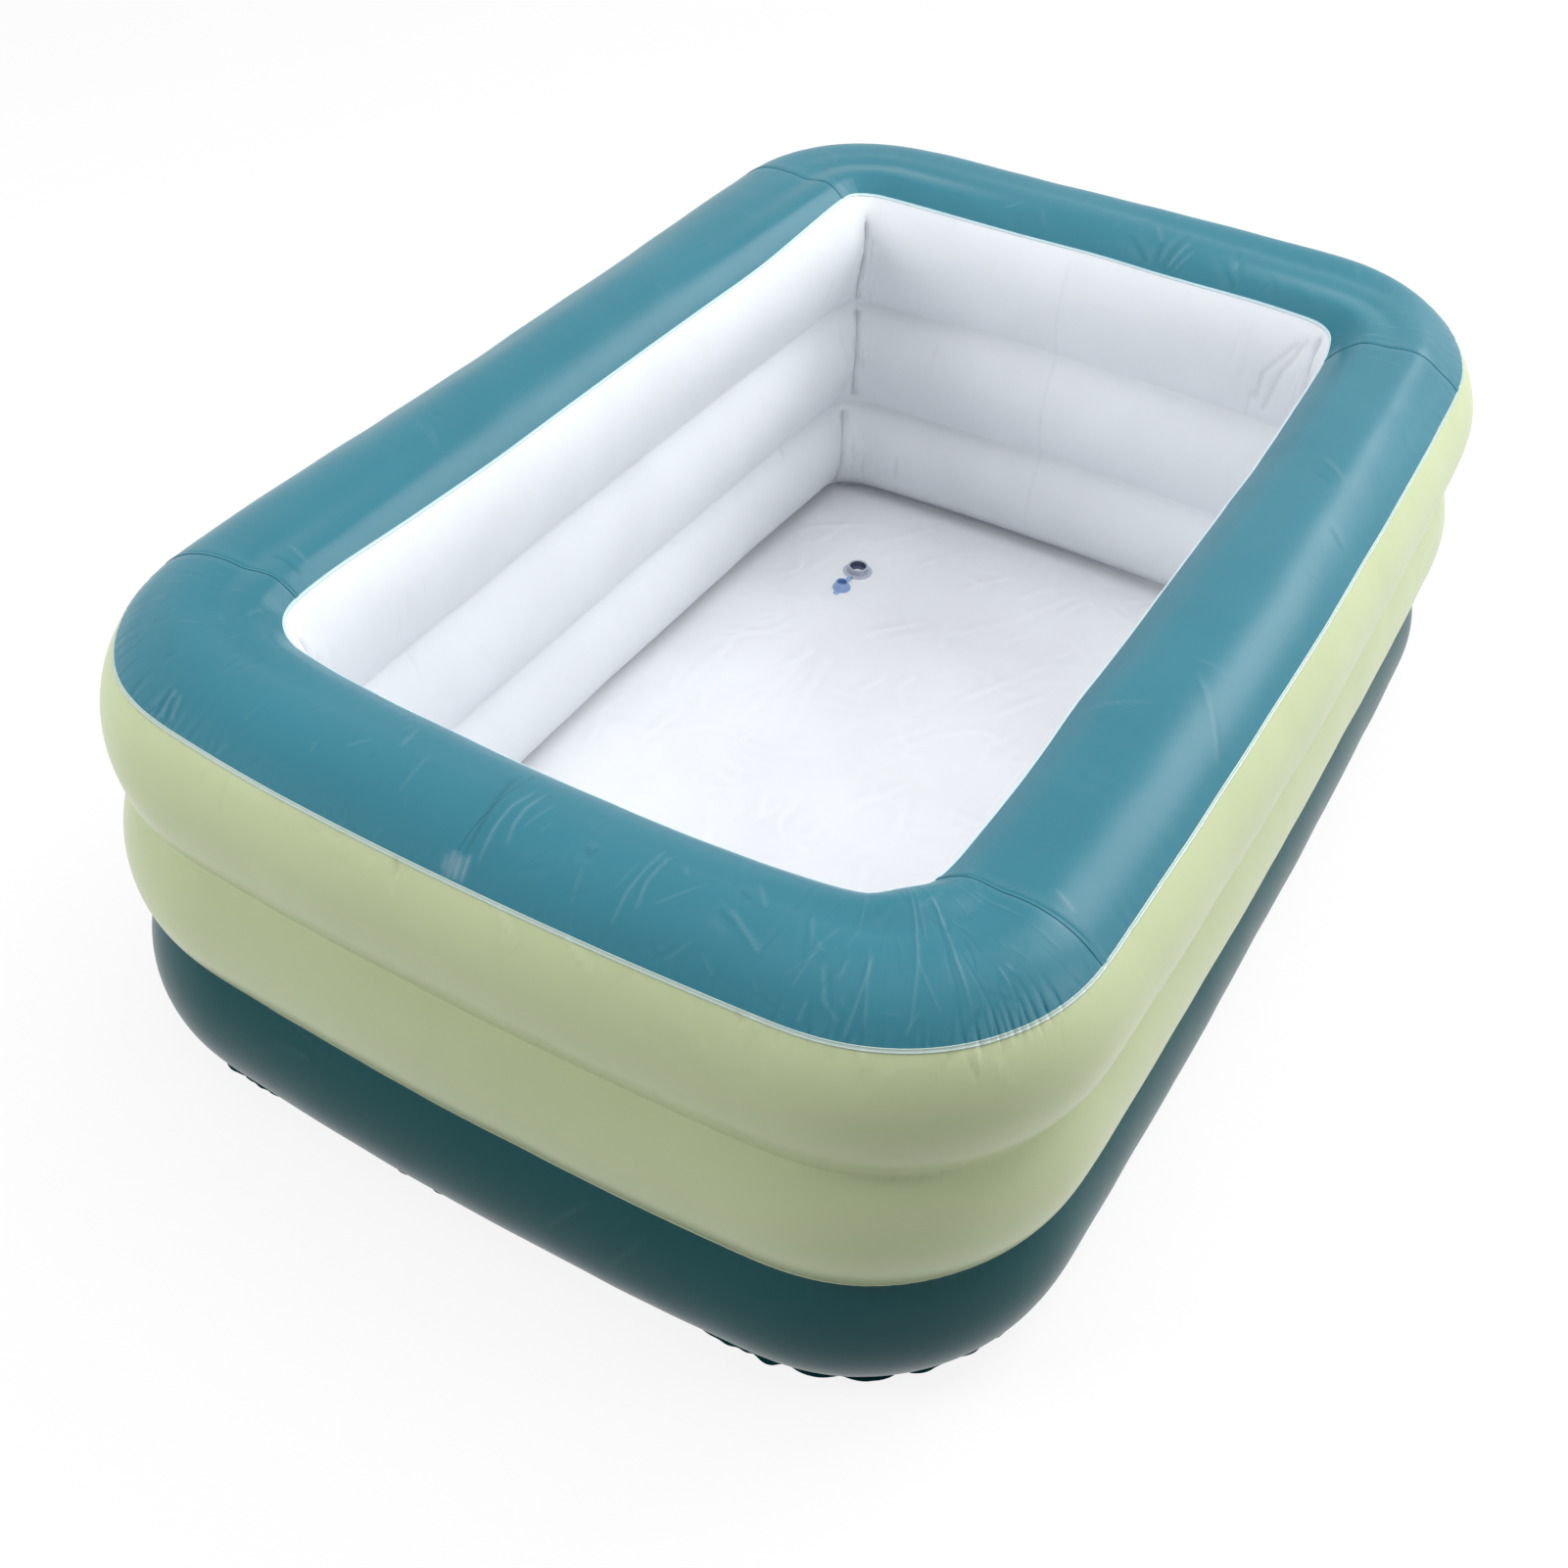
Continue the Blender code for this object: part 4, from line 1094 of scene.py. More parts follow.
def weld_band(name, wall, runs, low, high, lift, bead, thickness):
    """A welded strip along the wall with a rounded bead along each edge."""
    shares = np.array((0, 0.06, 0.14, 0.24, 0.5, 0.76, 0.86, 0.94, 1))
    beads = np.array((0, 0.7, 1, 0.3, 0.12, 0.3, 1, 0.7, 0))
    drops = low + (high - low) * shares
    rise = whole_relief(wall, runs, drops).rise + (lift + bead * beads)[:, None]
    points = wall.points(runs, drops, rise)
    piece = grid_piece(name, points, runs, drops, closed=True)
    apply_modifier(piece, "SOLIDIFY", thickness=thickness, offset=0)
    smooth(piece, 60)
    return piece


# Materials

def add_node(tree, kind, place, **values):
    node = tree.nodes.new(kind)
    node.location = place
    for key, value in values.items():
        setattr(node, key, value)
    return node


def set_or_link(tree, socket, value):
    if isinstance(value, bpy.types.NodeSocket):
        tree.links.new(value, socket)
    elif hasattr(value, "__len__") and len(value) == 3:
        socket.default_value = (*value, 1)
    else:
        socket.default_value = value


def mix_colours(tree, place, blend, factor, first, second):
    """A colour Mix node. Each of the three inputs is a value or a socket."""
    node = add_node(tree, "ShaderNodeMix", place, data_type="RGBA", blend_type=blend)
    for socket, value in ((node.inputs[0], factor), (node.inputs[6], first), (node.inputs[7], second)):
        set_or_link(tree, socket, value)
    return node.outputs[2]


def maths(tree, place, operation, first, second=0.0):
    node = add_node(tree, "ShaderNodeMath", place, operation=operation)
    set_or_link(tree, node.inputs[0], first)
    set_or_link(tree, node.inputs[1], second)
    return node.outputs[0]


def ranged(tree, place, value, low, high, to_low, to_high):
    node = add_node(tree, "ShaderNodeMapRange", place)
    for index, item in enumerate((value, low, high, to_low, to_high)):
        set_or_link(tree, node.inputs[index], item)
    return node.outputs[0]


def noise(tree, place, vector, scale, detail):
    node = add_node(tree, "ShaderNodeTexNoise", place)
    tree.links.new(vector, node.inputs["Vector"])
    node.inputs["Scale"].default_value = scale
    node.inputs["Detail"].default_value = detail
    return node.outputs[0]


def new_group(name, inputs, outputs):
    group = bpy.data.node_groups.new(name, "ShaderNodeTree")
    for label, kind, default in inputs:
        socket = group.interface.new_socket(name=label, in_out="INPUT", socket_type=kind)
        socket.default_value = default
    for label, kind in outputs:
        group.interface.new_socket(name=label, in_out="OUTPUT", socket_type=kind)
    source = add_node(group, "NodeGroupInput", (-1300, 0))
    return group, source, add_node(group, "NodeGroupOutput", (800, 0))


def film_finish_group():
    """Printed vinyl film: faint clouds in the colour, drawn streaks and a fine pebbled skin."""
    found = bpy.data.node_groups.get("film_finish")
    if found:
        return found
    group, source, sink = new_group(
        "film_finish",
        (
            ("Colour", "NodeSocketColor", (1, 1, 1, 1)),
            ("Clouds", "NodeSocketFloat", 0.04),
            ("Streaks", "NodeSocketFloat", 0.35),
        ),
        (("Colour", "NodeSocketColor"), ("Height", "NodeSocketFloat")),
    )
    spot = add_node(group, "ShaderNodeTexCoord", (-1300, -300)).outputs["Object"]
    chart = add_node(group, "ShaderNodeUVMap", (-1300, -600)).outputs[0]
    drawn = add_node(group, "ShaderNodeMapping", (-1050, -600))
    drawn.inputs["Scale"].default_value = (1.6, 95, 1)
    group.links.new(chart, drawn.inputs["Vector"])
    clouds = noise(group, (-800, 200), spot, 5, 3)
    skin = noise(group, (-800, -200), spot, 260, 2)
    ripple = noise(group, (-800, -400), spot, 46, 3)
    streak = noise(group, (-800, -600), drawn.outputs[0], 1, 2)
    low = maths(group, (-450, 300), "SUBTRACT", 1, source.outputs["Clouds"])
    high = maths(group, (-450, 150), "ADD", 1, source.outputs["Clouds"])
    shade = ranged(group, (-250, 200), clouds, 0.3, 0.7, low, high)
    tint = add_node(group, "ShaderNodeCombineColor", (-50, 200))
    for index in range(3):
        group.links.new(shade, tint.inputs[index])
    colour = mix_colours(group, (150, 200), "MULTIPLY", 1, source.outputs["Colour"], tint.outputs[0])
    group.links.new(colour, sink.inputs["Colour"])
    fine = maths(group, (-450, -200), "MULTIPLY", skin, 0.06)
    drawn_height = maths(group, (-450, -600), "MULTIPLY", streak, source.outputs["Streaks"])
    rippled = maths(group, (-450, -400), "MULTIPLY", ripple, 0.2)
    total = maths(group, (-250, -300), "ADD", fine, rippled)
    total = maths(group, (-100, -400), "ADD", total, drawn_height)
    group.links.new(total, sink.inputs["Height"])
    return group


FOLD_PALE_AND_HIGHLIGHT = 0.45  # share of the pale colour on a full crease: stress whitening and painted highlight
FOLD_PAINTED_SHADE = 0.30  # share of the dark colour in a full valley crease: painted shade


def film_material(name, colour, roughness, specular=0.4, clouds=0.03, streaks=0.12, bump=0.3 * MM):
    found = bpy.data.materials.get(name)
    if found:
        return found
    material = bpy.data.materials.new(name)
    material.use_nodes = True
    tree = material.node_tree
    shader = tree.nodes["Principled BSDF"]
    group = add_node(tree, "ShaderNodeGroup", (-500, 200), node_tree=film_finish_group())
    group.inputs["Colour"].default_value = (*colour, 1)
    group.inputs["Clouds"].default_value = clouds
    group.inputs["Streaks"].default_value = streaks
    dimple = add_node(tree, "ShaderNodeBump", (-250, -100))
    dimple.inputs["Strength"].default_value = 1
    dimple.inputs["Distance"].default_value = bump
    tree.links.new(group.outputs["Height"], dimple.inputs["Height"])
    # Painted light on the folds: crests turn paler for stress whitening and painted highlight, hollows
    # darker for painted shade.
    mark = add_node(tree, "ShaderNodeAttribute", (-900, 500), attribute_name="painted_fold_light").outputs["Fac"]
    pale = ranged(tree, (-700, 600), mark, 0, 1, 0, FOLD_PALE_AND_HIGHLIGHT)
    dark = ranged(tree, (-700, 400), mark, 0, -1, 0, FOLD_PAINTED_SHADE)
    paler = [0.75 * part + 0.25 for part in colour]
    hollow_shade_colour = [0.35 * part for part in colour]
    shade = mix_colours(tree, (-250, 500), "MIX", pale, group.outputs["Colour"], paler)
    shade = mix_colours(tree, (-50, 400), "MIX", dark, shade, hollow_shade_colour)
    tree.links.new(shade, shader.inputs["Base Color"])
    tree.links.new(dimple.outputs[0], shader.inputs["Normal"])
    shader.inputs["Roughness"].default_value = roughness
    shader.inputs["Specular IOR Level"].default_value = specular
    return material


def teal_film_skin():
    return film_material("teal_film", colours().teal, 0.33, 0.21)


def light_green_film_skin():
    return film_material("light_green_film", colours().light_green, 0.30, 0.34)


def dark_green_film_skin():
    return film_material("dark_green_film", colours().dark_green, 0.30, 0.22)


def white_film_skin():
    return film_material("white_film", colours().white, 0.38, 0.34)


def floor_film_skin():
    return film_material("floor_sheet_film", colours().floor, 0.26, 0.45, streaks=0)


def weld_film_skin():
    return film_material("weld_film", colours().weld, 0.22, 0.60, streaks=0)


def rim_film_skin():
    return film_material("rim_film", colours().rim, 0.24, 0.55, streaks=0)


# Painted highlight along the light green's lower edge.
def edge_highlight_film_skin():
    return film_material("edge_highlight_film", colours().edge_highlight, 0.26, 0.50, streaks=0)


def moulded_material(name, colour, roughness, clearness):
    """Soft clear moulding, with faint flow marks in its colour and gloss."""
    found = bpy.data.materials.get(name)
    if found:
        return found
    material = bpy.data.materials.new(name)
    material.use_nodes = True
    tree = material.node_tree
    shader = tree.nodes["Principled BSDF"]
    spot = add_node(tree, "ShaderNodeTexCoord", (-1000, 0)).outputs["Object"]
    flow = noise(tree, (-800, 0), spot, 130, 2)
    rough = ranged(tree, (-450, 100), flow, 0.3, 0.7, roughness * 0.8, roughness * 1.3)
    tint = mix_colours(tree, (-450, 300), "MIX", flow, colour, [part * 0.92 for part in colour])
    dimple = add_node(tree, "ShaderNodeBump", (-250, -100))
    dimple.inputs["Distance"].default_value = 0.08 * MM
    tree.links.new(flow, dimple.inputs["Height"])
    tree.links.new(dimple.outputs[0], shader.inputs["Normal"])
    tree.links.new(tint, shader.inputs["Base Color"])
    tree.links.new(rough, shader.inputs["Roughness"])
    shader.inputs["Transmission Weight"].default_value = clearness
    shader.inputs["IOR"].default_value = 1.45
    return material


def clear_moulding():
    return moulded_material("clear_moulding", colours().clear, 0.14, 0.45)


def blue_moulding():
    return moulded_material("blue_moulding", colours().blue, 0.14, 0.35)


# Painted shade: a dark moulding colour for the inside of the drain's bore.
def painted_shade_moulding():
    return moulded_material("painted_shade_moulding", colours().shade, 0.30, 0.0)


# Turned pieces and straps

def turned(name, profile, place, steps=64, bevel=0.25 * MM, outwards=False):
    """A closed profile of (radius, height) pairs, extruded ring by ring. Radius 0 closes a face.

    Outwards lays the piece's axis along +Y instead of +Z.
    """
    deselect_all()
    solid = profile[0][0] == 0
    start = profile[1] if solid else profile[0]
    fill = "NGON" if solid else "NOTHING"
    bpy.ops.mesh.primitive_circle_add(
        vertices=steps, radius=start[0], fill_type=fill, location=(0, 0, start[1])
    )
    piece = bpy.context.active_object
    rename(piece, name)
    settle(piece)
    edit_all(piece)
    if solid:
        bpy.ops.mesh.select_mode(type="VERT")
    bpy.ops.mesh.select_mode(type="EDGE")
    if solid:
        bpy.ops.mesh.region_to_loop()
    last = start
    ring = profile[2:] if solid else profile[1:] + profile[:1]
    for radius, height in ring:
        if radius == 0:
            bpy.ops.mesh.edge_face_add()
            break
        bpy.ops.mesh.extrude_edges_move(TRANSFORM_OT_translate={"value": (0, 0, height - last[1])})
        share = radius / last[0]
        bpy.ops.transform.resize(value=(share, share, 1), center_override=(0, 0, 0))
        last = (radius, height)
    bpy.ops.mesh.select_all(action="SELECT")
    bpy.ops.mesh.remove_doubles(threshold=MERGE)
    bpy.ops.mesh.normals_make_consistent(inside=False)
    to_object()
    sharp = math.radians(35)
    apply_modifier(piece, "BEVEL", width=bevel, segments=2, limit_method="ANGLE", angle_limit=sharp)
    if outwards:
        piece.rotation_euler = (-math.pi / 2, 0, 0)
    piece.location = place
    settle(piece)
    smooth(piece, 40)
    return piece


def strap(name, line, width, thickness, bevel=0.2 * MM):
    """A flat strap along a line of (y, z) points at x = 0, with a rounded section."""
    deselect_all()
    (y, z) = line[0]
    bpy.ops.mesh.primitive_circle_add(vertices=4, radius=width / math.sqrt(2), fill_type="NOTHING")
    piece = bpy.context.active_object
    rename(piece, name)
    edit_all(piece)
    bpy.ops.mesh.select_all(action="DESELECT")
    to_object()
    mesh = piece.data
    for vertex in mesh.vertices:
        vertex.select = False
    ends = sorted(mesh.vertices, key=lambda vertex: vertex.index)
    ends[0].co = (-width / 2, y, z)
    ends[1].co = (width / 2, y, z)
    for vertex in ends[2:]:
        vertex.select = True
    choose(piece)
    bpy.ops.object.mode_set(mode="EDIT")
    bpy.ops.mesh.delete(type="VERT")
    bpy.ops.mesh.select_mode(type="EDGE")
    bpy.ops.mesh.select_all(action="SELECT")
    for next_y, next_z in line[1:]:
        bpy.ops.mesh.extrude_edges_move(TRANSFORM_OT_translate={"value": (0, next_y - y, next_z - z)})
        y, z = next_y, next_z
    bpy.ops.mesh.select_all(action="SELECT")
    to_object()
    apply_modifier(piece, "SOLIDIFY", thickness=thickness, offset=0, use_even_offset=True)
    sharp = math.radians(50)
    apply_modifier(piece, "BEVEL", width=bevel, segments=2, limit_method="ANGLE", angle_limit=sharp)
    smooth(piece, 50)
    return piece


def eased(line, steps=5):
    """A line's points with its inner corners rounded by a curve through them."""
    points = [line[0]]
    for before, here, after in zip(line, line[1:], line[2:]):
        first = ((before[0] + 2 * here[0]) / 3, (before[1] + 2 * here[1]) / 3)
        last = ((after[0] + 2 * here[0]) / 3, (after[1] + 2 * here[1]) / 3)
        for share in np.linspace(0, 1, steps):
            parts = ((1 - share) ** 2, 2 * share * (1 - share), share ** 2)
            points.append(tuple(
                parts[0] * first[i] + parts[1] * here[i] + parts[2] * last[i] for i in (0, 1)
            ))
    return points + [line[-1]]


def join(main_piece, *others):
    choose(main_piece)
    for other in others:
        other.select_set(True)
    bpy.ops.object.join()
    return main_piece


def moved(piece, place):
    piece.location = place
    settle(piece)
    return piece


# Operators: one for each piece or group of like pieces

class POOL_OT_stage(bpy.types.Operator):
    """Ground, soft lamps and the photo's camera"""
    bl_idname = "pool.stage"
    bl_label = "Stage"

    def execute(self, context):
        stage = context.scene.pool_stage
        make_camera(stage)
        make_world(stage)
        make_ground(stage)
        make_lamps(stage)
        context.scene.view_settings.view_transform = "Standard"
        return {"FINISHED"}


def make_camera(stage):
    azimuth, elevation, roll = stage.azimuth, stage.elevation, stage.roll
    back = Vector((
        math.sin(azimuth) * math.cos(elevation),
        -math.cos(azimuth) * math.cos(elevation),
        math.sin(elevation),
    ))
    right = Vector((math.cos(azimuth), math.sin(azimuth), 0))
    up = back.cross(right)
    axis_x = right * math.cos(roll) + up * math.sin(roll)
    axis_y = up * math.cos(roll) - right * math.sin(roll)
    place = Vector(stage.target) + back * stage.distance
    data = bpy.data.cameras.new("photo_camera")
    data.lens = stage.lens
    camera = bpy.data.objects.new("photo_camera", data)
    bpy.context.scene.collection.objects.link(camera)
    rows_of_matrix = [(axis_x[i], axis_y[i], back[i], place[i]) for i in range(3)]
    camera.matrix_world = Matrix(rows_of_matrix + [(0, 0, 0, 1)])
    bpy.context.scene.camera = camera


def background_share(tree, place):
    """1 for rays that show the background: straight, reflected or seen through."""
    rays = add_node(tree, "ShaderNodeLightPath", place)
    share = rays.outputs["Is Camera Ray"]
    for name in ("Is Glossy Ray", "Is Transmission Ray"):
        share = maths(tree, (place[0] + 200, place[1]), "MAXIMUM", share, rays.outputs[name])
    return share


def make_world(stage):
    world = bpy.data.worlds.new("soft_room")
    bpy.context.scene.world = world
    world.use_nodes = True
    tree = world.node_tree
    background = tree.nodes["Background"]
    background.inputs["Color"].default_value = (0.97, 0.985, 1.0, 1)
    share = background_share(tree, (-700, 0))
    strength = ranged(tree, (-200, 0), share, 0, 1, stage.fill, 1.0)
    tree.links.new(strength, background.inputs["Strength"])


def make_ground(stage):
    deselect_all()
    bpy.ops.mesh.primitive_plane_add(size=60, location=(0, 0, -0.2 * MM))
    ground = bpy.context.active_object
    rename(ground, "ground")
    settle(ground)
    material = bpy.data.materials.new("pale_ground")
    material.use_nodes = True
    tree = material.node_tree
    shader = tree.nodes["Principled BSDF"]
    shader.inputs["Roughness"].default_value = 0.9
    shader.inputs["Specular IOR Level"].default_value = 0
    glow = add_node(tree, "ShaderNodeEmission", (0, 300))
    glow.inputs["Color"].default_value = (1, 1, 1, 1)
    blend = add_node(tree, "ShaderNodeMixShader", (300, 0))
    share = background_share(tree, (-700, 300))
    bounce = ranged(tree, (-300, 0), share, 0, 1, stage.ground_bounce, 0.9)
    grey = add_node(tree, "ShaderNodeCombineColor", (-150, 0))
    for index in range(3):
        tree.links.new(bounce, grey.inputs[index])
    tree.links.new(grey.outputs[0], shader.inputs["Base Color"])
    tree.links.new(maths(tree, (-100, 400), "MULTIPLY", share, stage.ground_glow), blend.inputs[0])
    tree.links.new(shader.outputs[0], blend.inputs[1])
    tree.links.new(glow.outputs[0], blend.inputs[2])
    tree.links.new(blend.outputs[0], tree.nodes["Material Output"].inputs["Surface"])
    ground.data.materials.append(material)


def make_lamps(stage):
    """Large soft boxes. Only the ones behind the pool and beside it show in its gloss."""
    boxes = (
        ("right_softbox", (3.2, 1.0, 1.7), (0, 0.1, 0.3), 2.2, stage.right_lamp, False),
        ("key_softbox", (-3.0, -3.4, 2.8), (0, -0.3, 0.3), 2.0, stage.key_lamp, False),
        ("top_softbox", (0.1, 0.4, 6.0), (0, 0.1, 0), 4.0, stage.top_lamp, False),
        ("glare_softbox", (2.9, 5.8, 6.0), (0, 0, 0.5), 4.2, stage.glare_lamp, True),
        ("side_softbox", (4.0, 1.0, 3.0), (0, 0, 0.5), 1.6, stage.side_lamp, True),
    )
    for name, place, aim, width, power, shows in boxes:
        data = bpy.data.lights.new(name, "AREA")
        data.shape = "SQUARE"
        data.size = width
        data.energy = power
        lamp = bpy.data.objects.new(name, data)
        bpy.context.scene.collection.objects.link(lamp)
        lamp.location = place
        lamp.rotation_mode = "QUATERNION"
        lamp.rotation_quaternion = (Vector(aim) - Vector(place)).to_track_quat("-Z", "Y")
        lamp.visible_glossy = shows


class POOL_OT_top_panels(bpy.types.Operator):
    """Four teal panels of the top ring"""
    bl_idname = "pool.top_panels"
    bl_label = "Top panels"

    def execute(self, context):
        wall = Wall()
        size = sizes()
        seam, rim = wall.drop(3), wall.drop(4)
        for name, start, end, count in (
            ("right_top_panel", 0, 1, 56),
            ("back_top_panel", 1, 4, 46),
            ("left_top_panel", 4, 5, 42),
            ("front_top_panel", 5, 6.5, 74),
            ("front_top_panel", 6.5, 8, 74),
        ):
            half = {5: "_left", 6.5: "_right"}.get(start, "")
            runs = columns_between(wall, OUTER_COLUMNS, start, end)
            drops = rows(seam, rim, count, (seam, rim), 1.0, 25 * MM)
            runs[0] += size.gap / 2
            runs[-1] -= size.gap / 2
            piece = film_piece(f"{name}_film{half}", wall, runs, drops, size.film + size.gap)
            dress(piece, teal_film_skin(), "pool", name, slot="teal_vinyl")
        return {"FINISHED"}


class POOL_OT_outer_walls(bpy.types.Operator):
    """Light green film of the top and middle rings, and dark green film of the bottom ring"""
    bl_idname = "pool.outer_walls"
    bl_label = "Outer walls"

    def execute(self, context):
        wall = Wall()
        size = sizes()
        runs = columns(wall, OUTER_COLUMNS)
        seam, middle, low = wall.drop(3), wall.drop(2), wall.drop(1)
        drops = rows(middle, seam + size.seam_lap, 29, (seam, middle), 1.5, 15 * MM)
        lift = tucked(drops, seam, size.film)
        piece = film_piece("upper_ring_film", wall, runs, drops, lift, True, flat_at_valves)
        cut_valve_holes(piece, ("upper",))
        dress(piece, light_green_film_skin(), "pool", "upper_outer_wall", slot="light_green_vinyl")
        runs = columns(wall, LOW_COLUMNS)
        drops = rows(low + size.weld_land, middle, 34, (middle, low), 2.0, 15 * MM)
        piece = film_piece("middle_ring_film", wall, runs, drops, 0, True, flat_at_valves)
        cut_valve_holes(piece, ("middle",))
        dress(piece, light_green_film_skin(), "pool", "upper_outer_wall", slot="light_green_vinyl")
        drops = rows(0, low + size.weld_land - size.gap, 40, (wall.drop(0), low), 3.0, 12 * MM)
        shape = lower_ring_shape(wall, runs, drops)
        piece = film_piece("lower_ring_film", wall, runs, drops, 0, True, shape)
        cut_valve_holes(piece, ("lower",))
        dress(piece, dark_green_film_skin(), "pool", "lower_outer_wall", slot="dark_green_vinyl")
        return {"FINISHED"}


# Where the outer skirt shows: place, half width as a share of a place, and how far out from 0 to 1
SKIRT_LOBES = (
    (5.80, 0.10, 0.55), (5.93, 0.07, 0.9), (6.03, 0.05, 0.7), (6.35, 0.03, 0.45), (6.42, 0.02, 0.4),
    (6.97, 0.05, 0.6), (7.08, 0.05, 0.8), (7.22, 0.07, 0.75), (7.38, 0.08, 0.8), (7.55, 0.07, 0.7),
    (7.70, 0.07, 0.8), (7.80, 0.05, 1.0), (7.88, 0.03, 0.6), (1.2, 0.1, 0.7), (1.7, 0.1, 0.5),
    (2.4, 0.1, 0.4), (3.3, 0.12, 0.8), (3.8, 0.08, 0.5), (4.5, 0.05, 0.4), (0.5, 0.05, 0.4),
)

SKIRT_WAVES = 14
SKIRT_WAVE_TIMES = (60, 260)  # least and most waves round the pool
SKIRT_WAVE_SHARE = 0.14  # of the skirt's spare width


def lower_ring_shape(wall, runs, drops):
    """The skirt's free edge is cut unevenly and stands up in small waves."""
    size = sizes()
    foot = wall.drop(0)
    places = wall.place(runs)
    out = np.zeros_like(places)
    for centre, half, most in SKIRT_LOBES:
        away = (places - centre + STRETCHES / 2) % STRETCHES - STRETCHES / 2
        out = np.maximum(out, most * np.exp(-((away / half) ** 2)))
    draw = np.random.RandomState(61)
    waves = np.zeros_like(places)
    for _ in range(SKIRT_WAVES):
        times = draw.randint(*SKIRT_WAVE_TIMES)
        phase = draw.uniform(0, 2 * math.pi)
        waves += np.sin(2 * math.pi * times * runs / wall.length + phase) / 6
    spread = np.clip(out + SKIRT_WAVE_SHARE * waves, 0, 1)
    reach = size.least_skirt + (size.outer_skirt - size.least_skirt) * spread

    def shape(points):
        share = np.clip((foot - drops) / foot, 0, 1)
        shrink = (size.outer_skirt - reach)[None, :] * share[:, None]
        out_x = wall.round(wall.out_x, runs)
        out_y = wall.round(wall.out_y, runs)
        points[..., 0] -= shrink * out_x
        points[..., 1] -= shrink * out_y
        points[..., 2] += np.abs(waves)[None, :] * share[:, None] * 1.6 * MM
        return flat_at_valves(points)

    return shape


class POOL_OT_inner_wall(bpy.types.Operator):
    """White film of the inner wall, one grid for each ring"""
    bl_idname = "pool.inner_wall"
    bl_label = "Inner wall"

    def execute(self, context):
        wall = Wall()
        size = sizes()
        rim, upper, lower = wall.drop(4), wall.drop(5), wall.drop(6)
        runs = columns(wall, INNER_COLUMNS, INNER_DENSITY)
        drops = rows(rim - size.seam_lap, upper, 38, (rim, upper), 1.5, 15 * MM)
        lift = tucked(-drops, -rim, size.film)
        piece = film_piece("inner_upper_film", wall, runs, drops, lift, True)
        dress(piece, white_film_skin(), "pool", "inner_wall", slot="white_vinyl")
        drops = rows(upper, lower, 34, (upper, lower), 2.0, 15 * MM)
        piece = film_piece("inner_middle_film", wall, runs, drops, 0, True)
        dress(piece, white_film_skin(), "pool", "inner_wall", slot="white_vinyl")
        drops = rows(lower, wall.end, 36, (lower, wall.drop(7)), 2.5, 12 * MM)
        piece = film_piece("inner_lower_film", wall, runs, drops, 0, True)
        dress(piece, white_film_skin(), "pool", "inner_wall", slot="white_vinyl")
        return {"FINISHED"}


class POOL_OT_webs(bpy.types.Operator):
    """Level films between the air rings, hidden inside the wall"""
    bl_idname = "pool.webs"
    bl_label = "Webs"

    def execute(self, context):
        wall = Wall()
        size = sizes()
        runs = columns(wall, 260)
        edge = size.web_width / 2 - 3 * size.weld_land / 2
        lip = 3 * size.weld_land
        offsets = np.array((edge, edge, edge - lip, edge / 2, 0, -edge / 2, lip - edge, -edge, -edge))
        lifts = np.array((lip, 0, 0, 0, 0, 0, 0, 0, lip))
        drops = np.arange(len(offsets)) * lip
        upper = size.lower_ring + size.middle_ring
        for name, level in (("lower_web", size.lower_ring), ("upper_web", upper)):
            points = wall.plan(runs, offsets[:, None], (level + lifts)[:, None] + np.zeros(len(runs)))
            piece = grid_piece(f"{name}_film", points, runs, drops, True)
            apply_modifier(piece, "SOLIDIFY", thickness=size.film, offset=0)
            smooth(piece, 50)
            dress(piece, white_film_skin(), "pool", name, slot="white_vinyl")
        return {"FINISHED"}


class POOL_OT_welds(bpy.types.Operator):
    """Weld bands at the outer seam, the inner rim and the light green's lower edge"""
    bl_idname = "pool.welds"
    bl_label = "Welds"

    def execute(self, context):
        wall = Wall()
        size = sizes()
        fold = folds()
        runs = columns(wall, OUTER_COLUMNS)
        film = size.film
        seam, rim, low = wall.drop(3), wall.drop(4), wall.drop(1)
        lift = 1.6 * film
        bead = fold.weld_bead
        start = seam - fold.outer_weld
        piece = weld_band("outer_weld", wall, runs, start, seam + film, lift, bead, film)
        dress(piece, weld_film_skin(), "pool", slot="teal_vinyl")
        end = rim + fold.inner_weld
        piece = weld_band("inner_weld", wall, runs, rim - film, end, lift, bead, film)
        dress(piece, rim_film_skin(), "pool", slot="white_vinyl")
        runs = columns(wall, LOW_COLUMNS)
        start = low + size.weld_land
        # The bead's pale colour is a painted highlight along the light green's lower edge.
        piece = weld_band("lower_edge_bead", wall, runs, start, start + EDGE_BEAD, film, bead, film)
        dress(piece, edge_highlight_film_skin(), "pool", slot="light_green_vinyl")
        make_cross_welds(wall)
        return {"FINISHED"}


EDGE_BEAD = 2.2 * MM


def make_cross_welds(wall):
    """Strips over the butted panels, from the outer seam to the inner rim."""
    size = sizes()
    fold = folds()
    seam, rim = wall.drop(3), wall.drop(4)
    shares = np.array((-0.5, -0.44, -0.36, -0.2, 0, 0.2, 0.36, 0.44, 0.5))
    beads = np.array((0, 0.6, 0.8, 0.1, 0.3, 0.1, 0.8, 0.6, 0))
    drops = rows(seam, rim, 74, (seam, rim), 1.0, 25 * MM)
    lift = 2 * size.film + size.gap + 0.6 * size.film
    for index, (place, _) in enumerate(CROSS_WELDS):
        runs = wall.run(place) + shares * fold.cross_weld
        rise = whole_relief(wall, runs, drops).rise + lift + beads[None, :] * fold.weld_bead * 0.8
        piece = grid_piece(f"cross_weld_{index + 1}", wall.points(runs, drops, rise), runs, drops)
        apply_modifier(piece, "SOLIDIFY", thickness=size.film, offset=0)
        smooth(piece, 60)
        dress(piece, teal_film_skin(), "pool", slot="teal_vinyl")


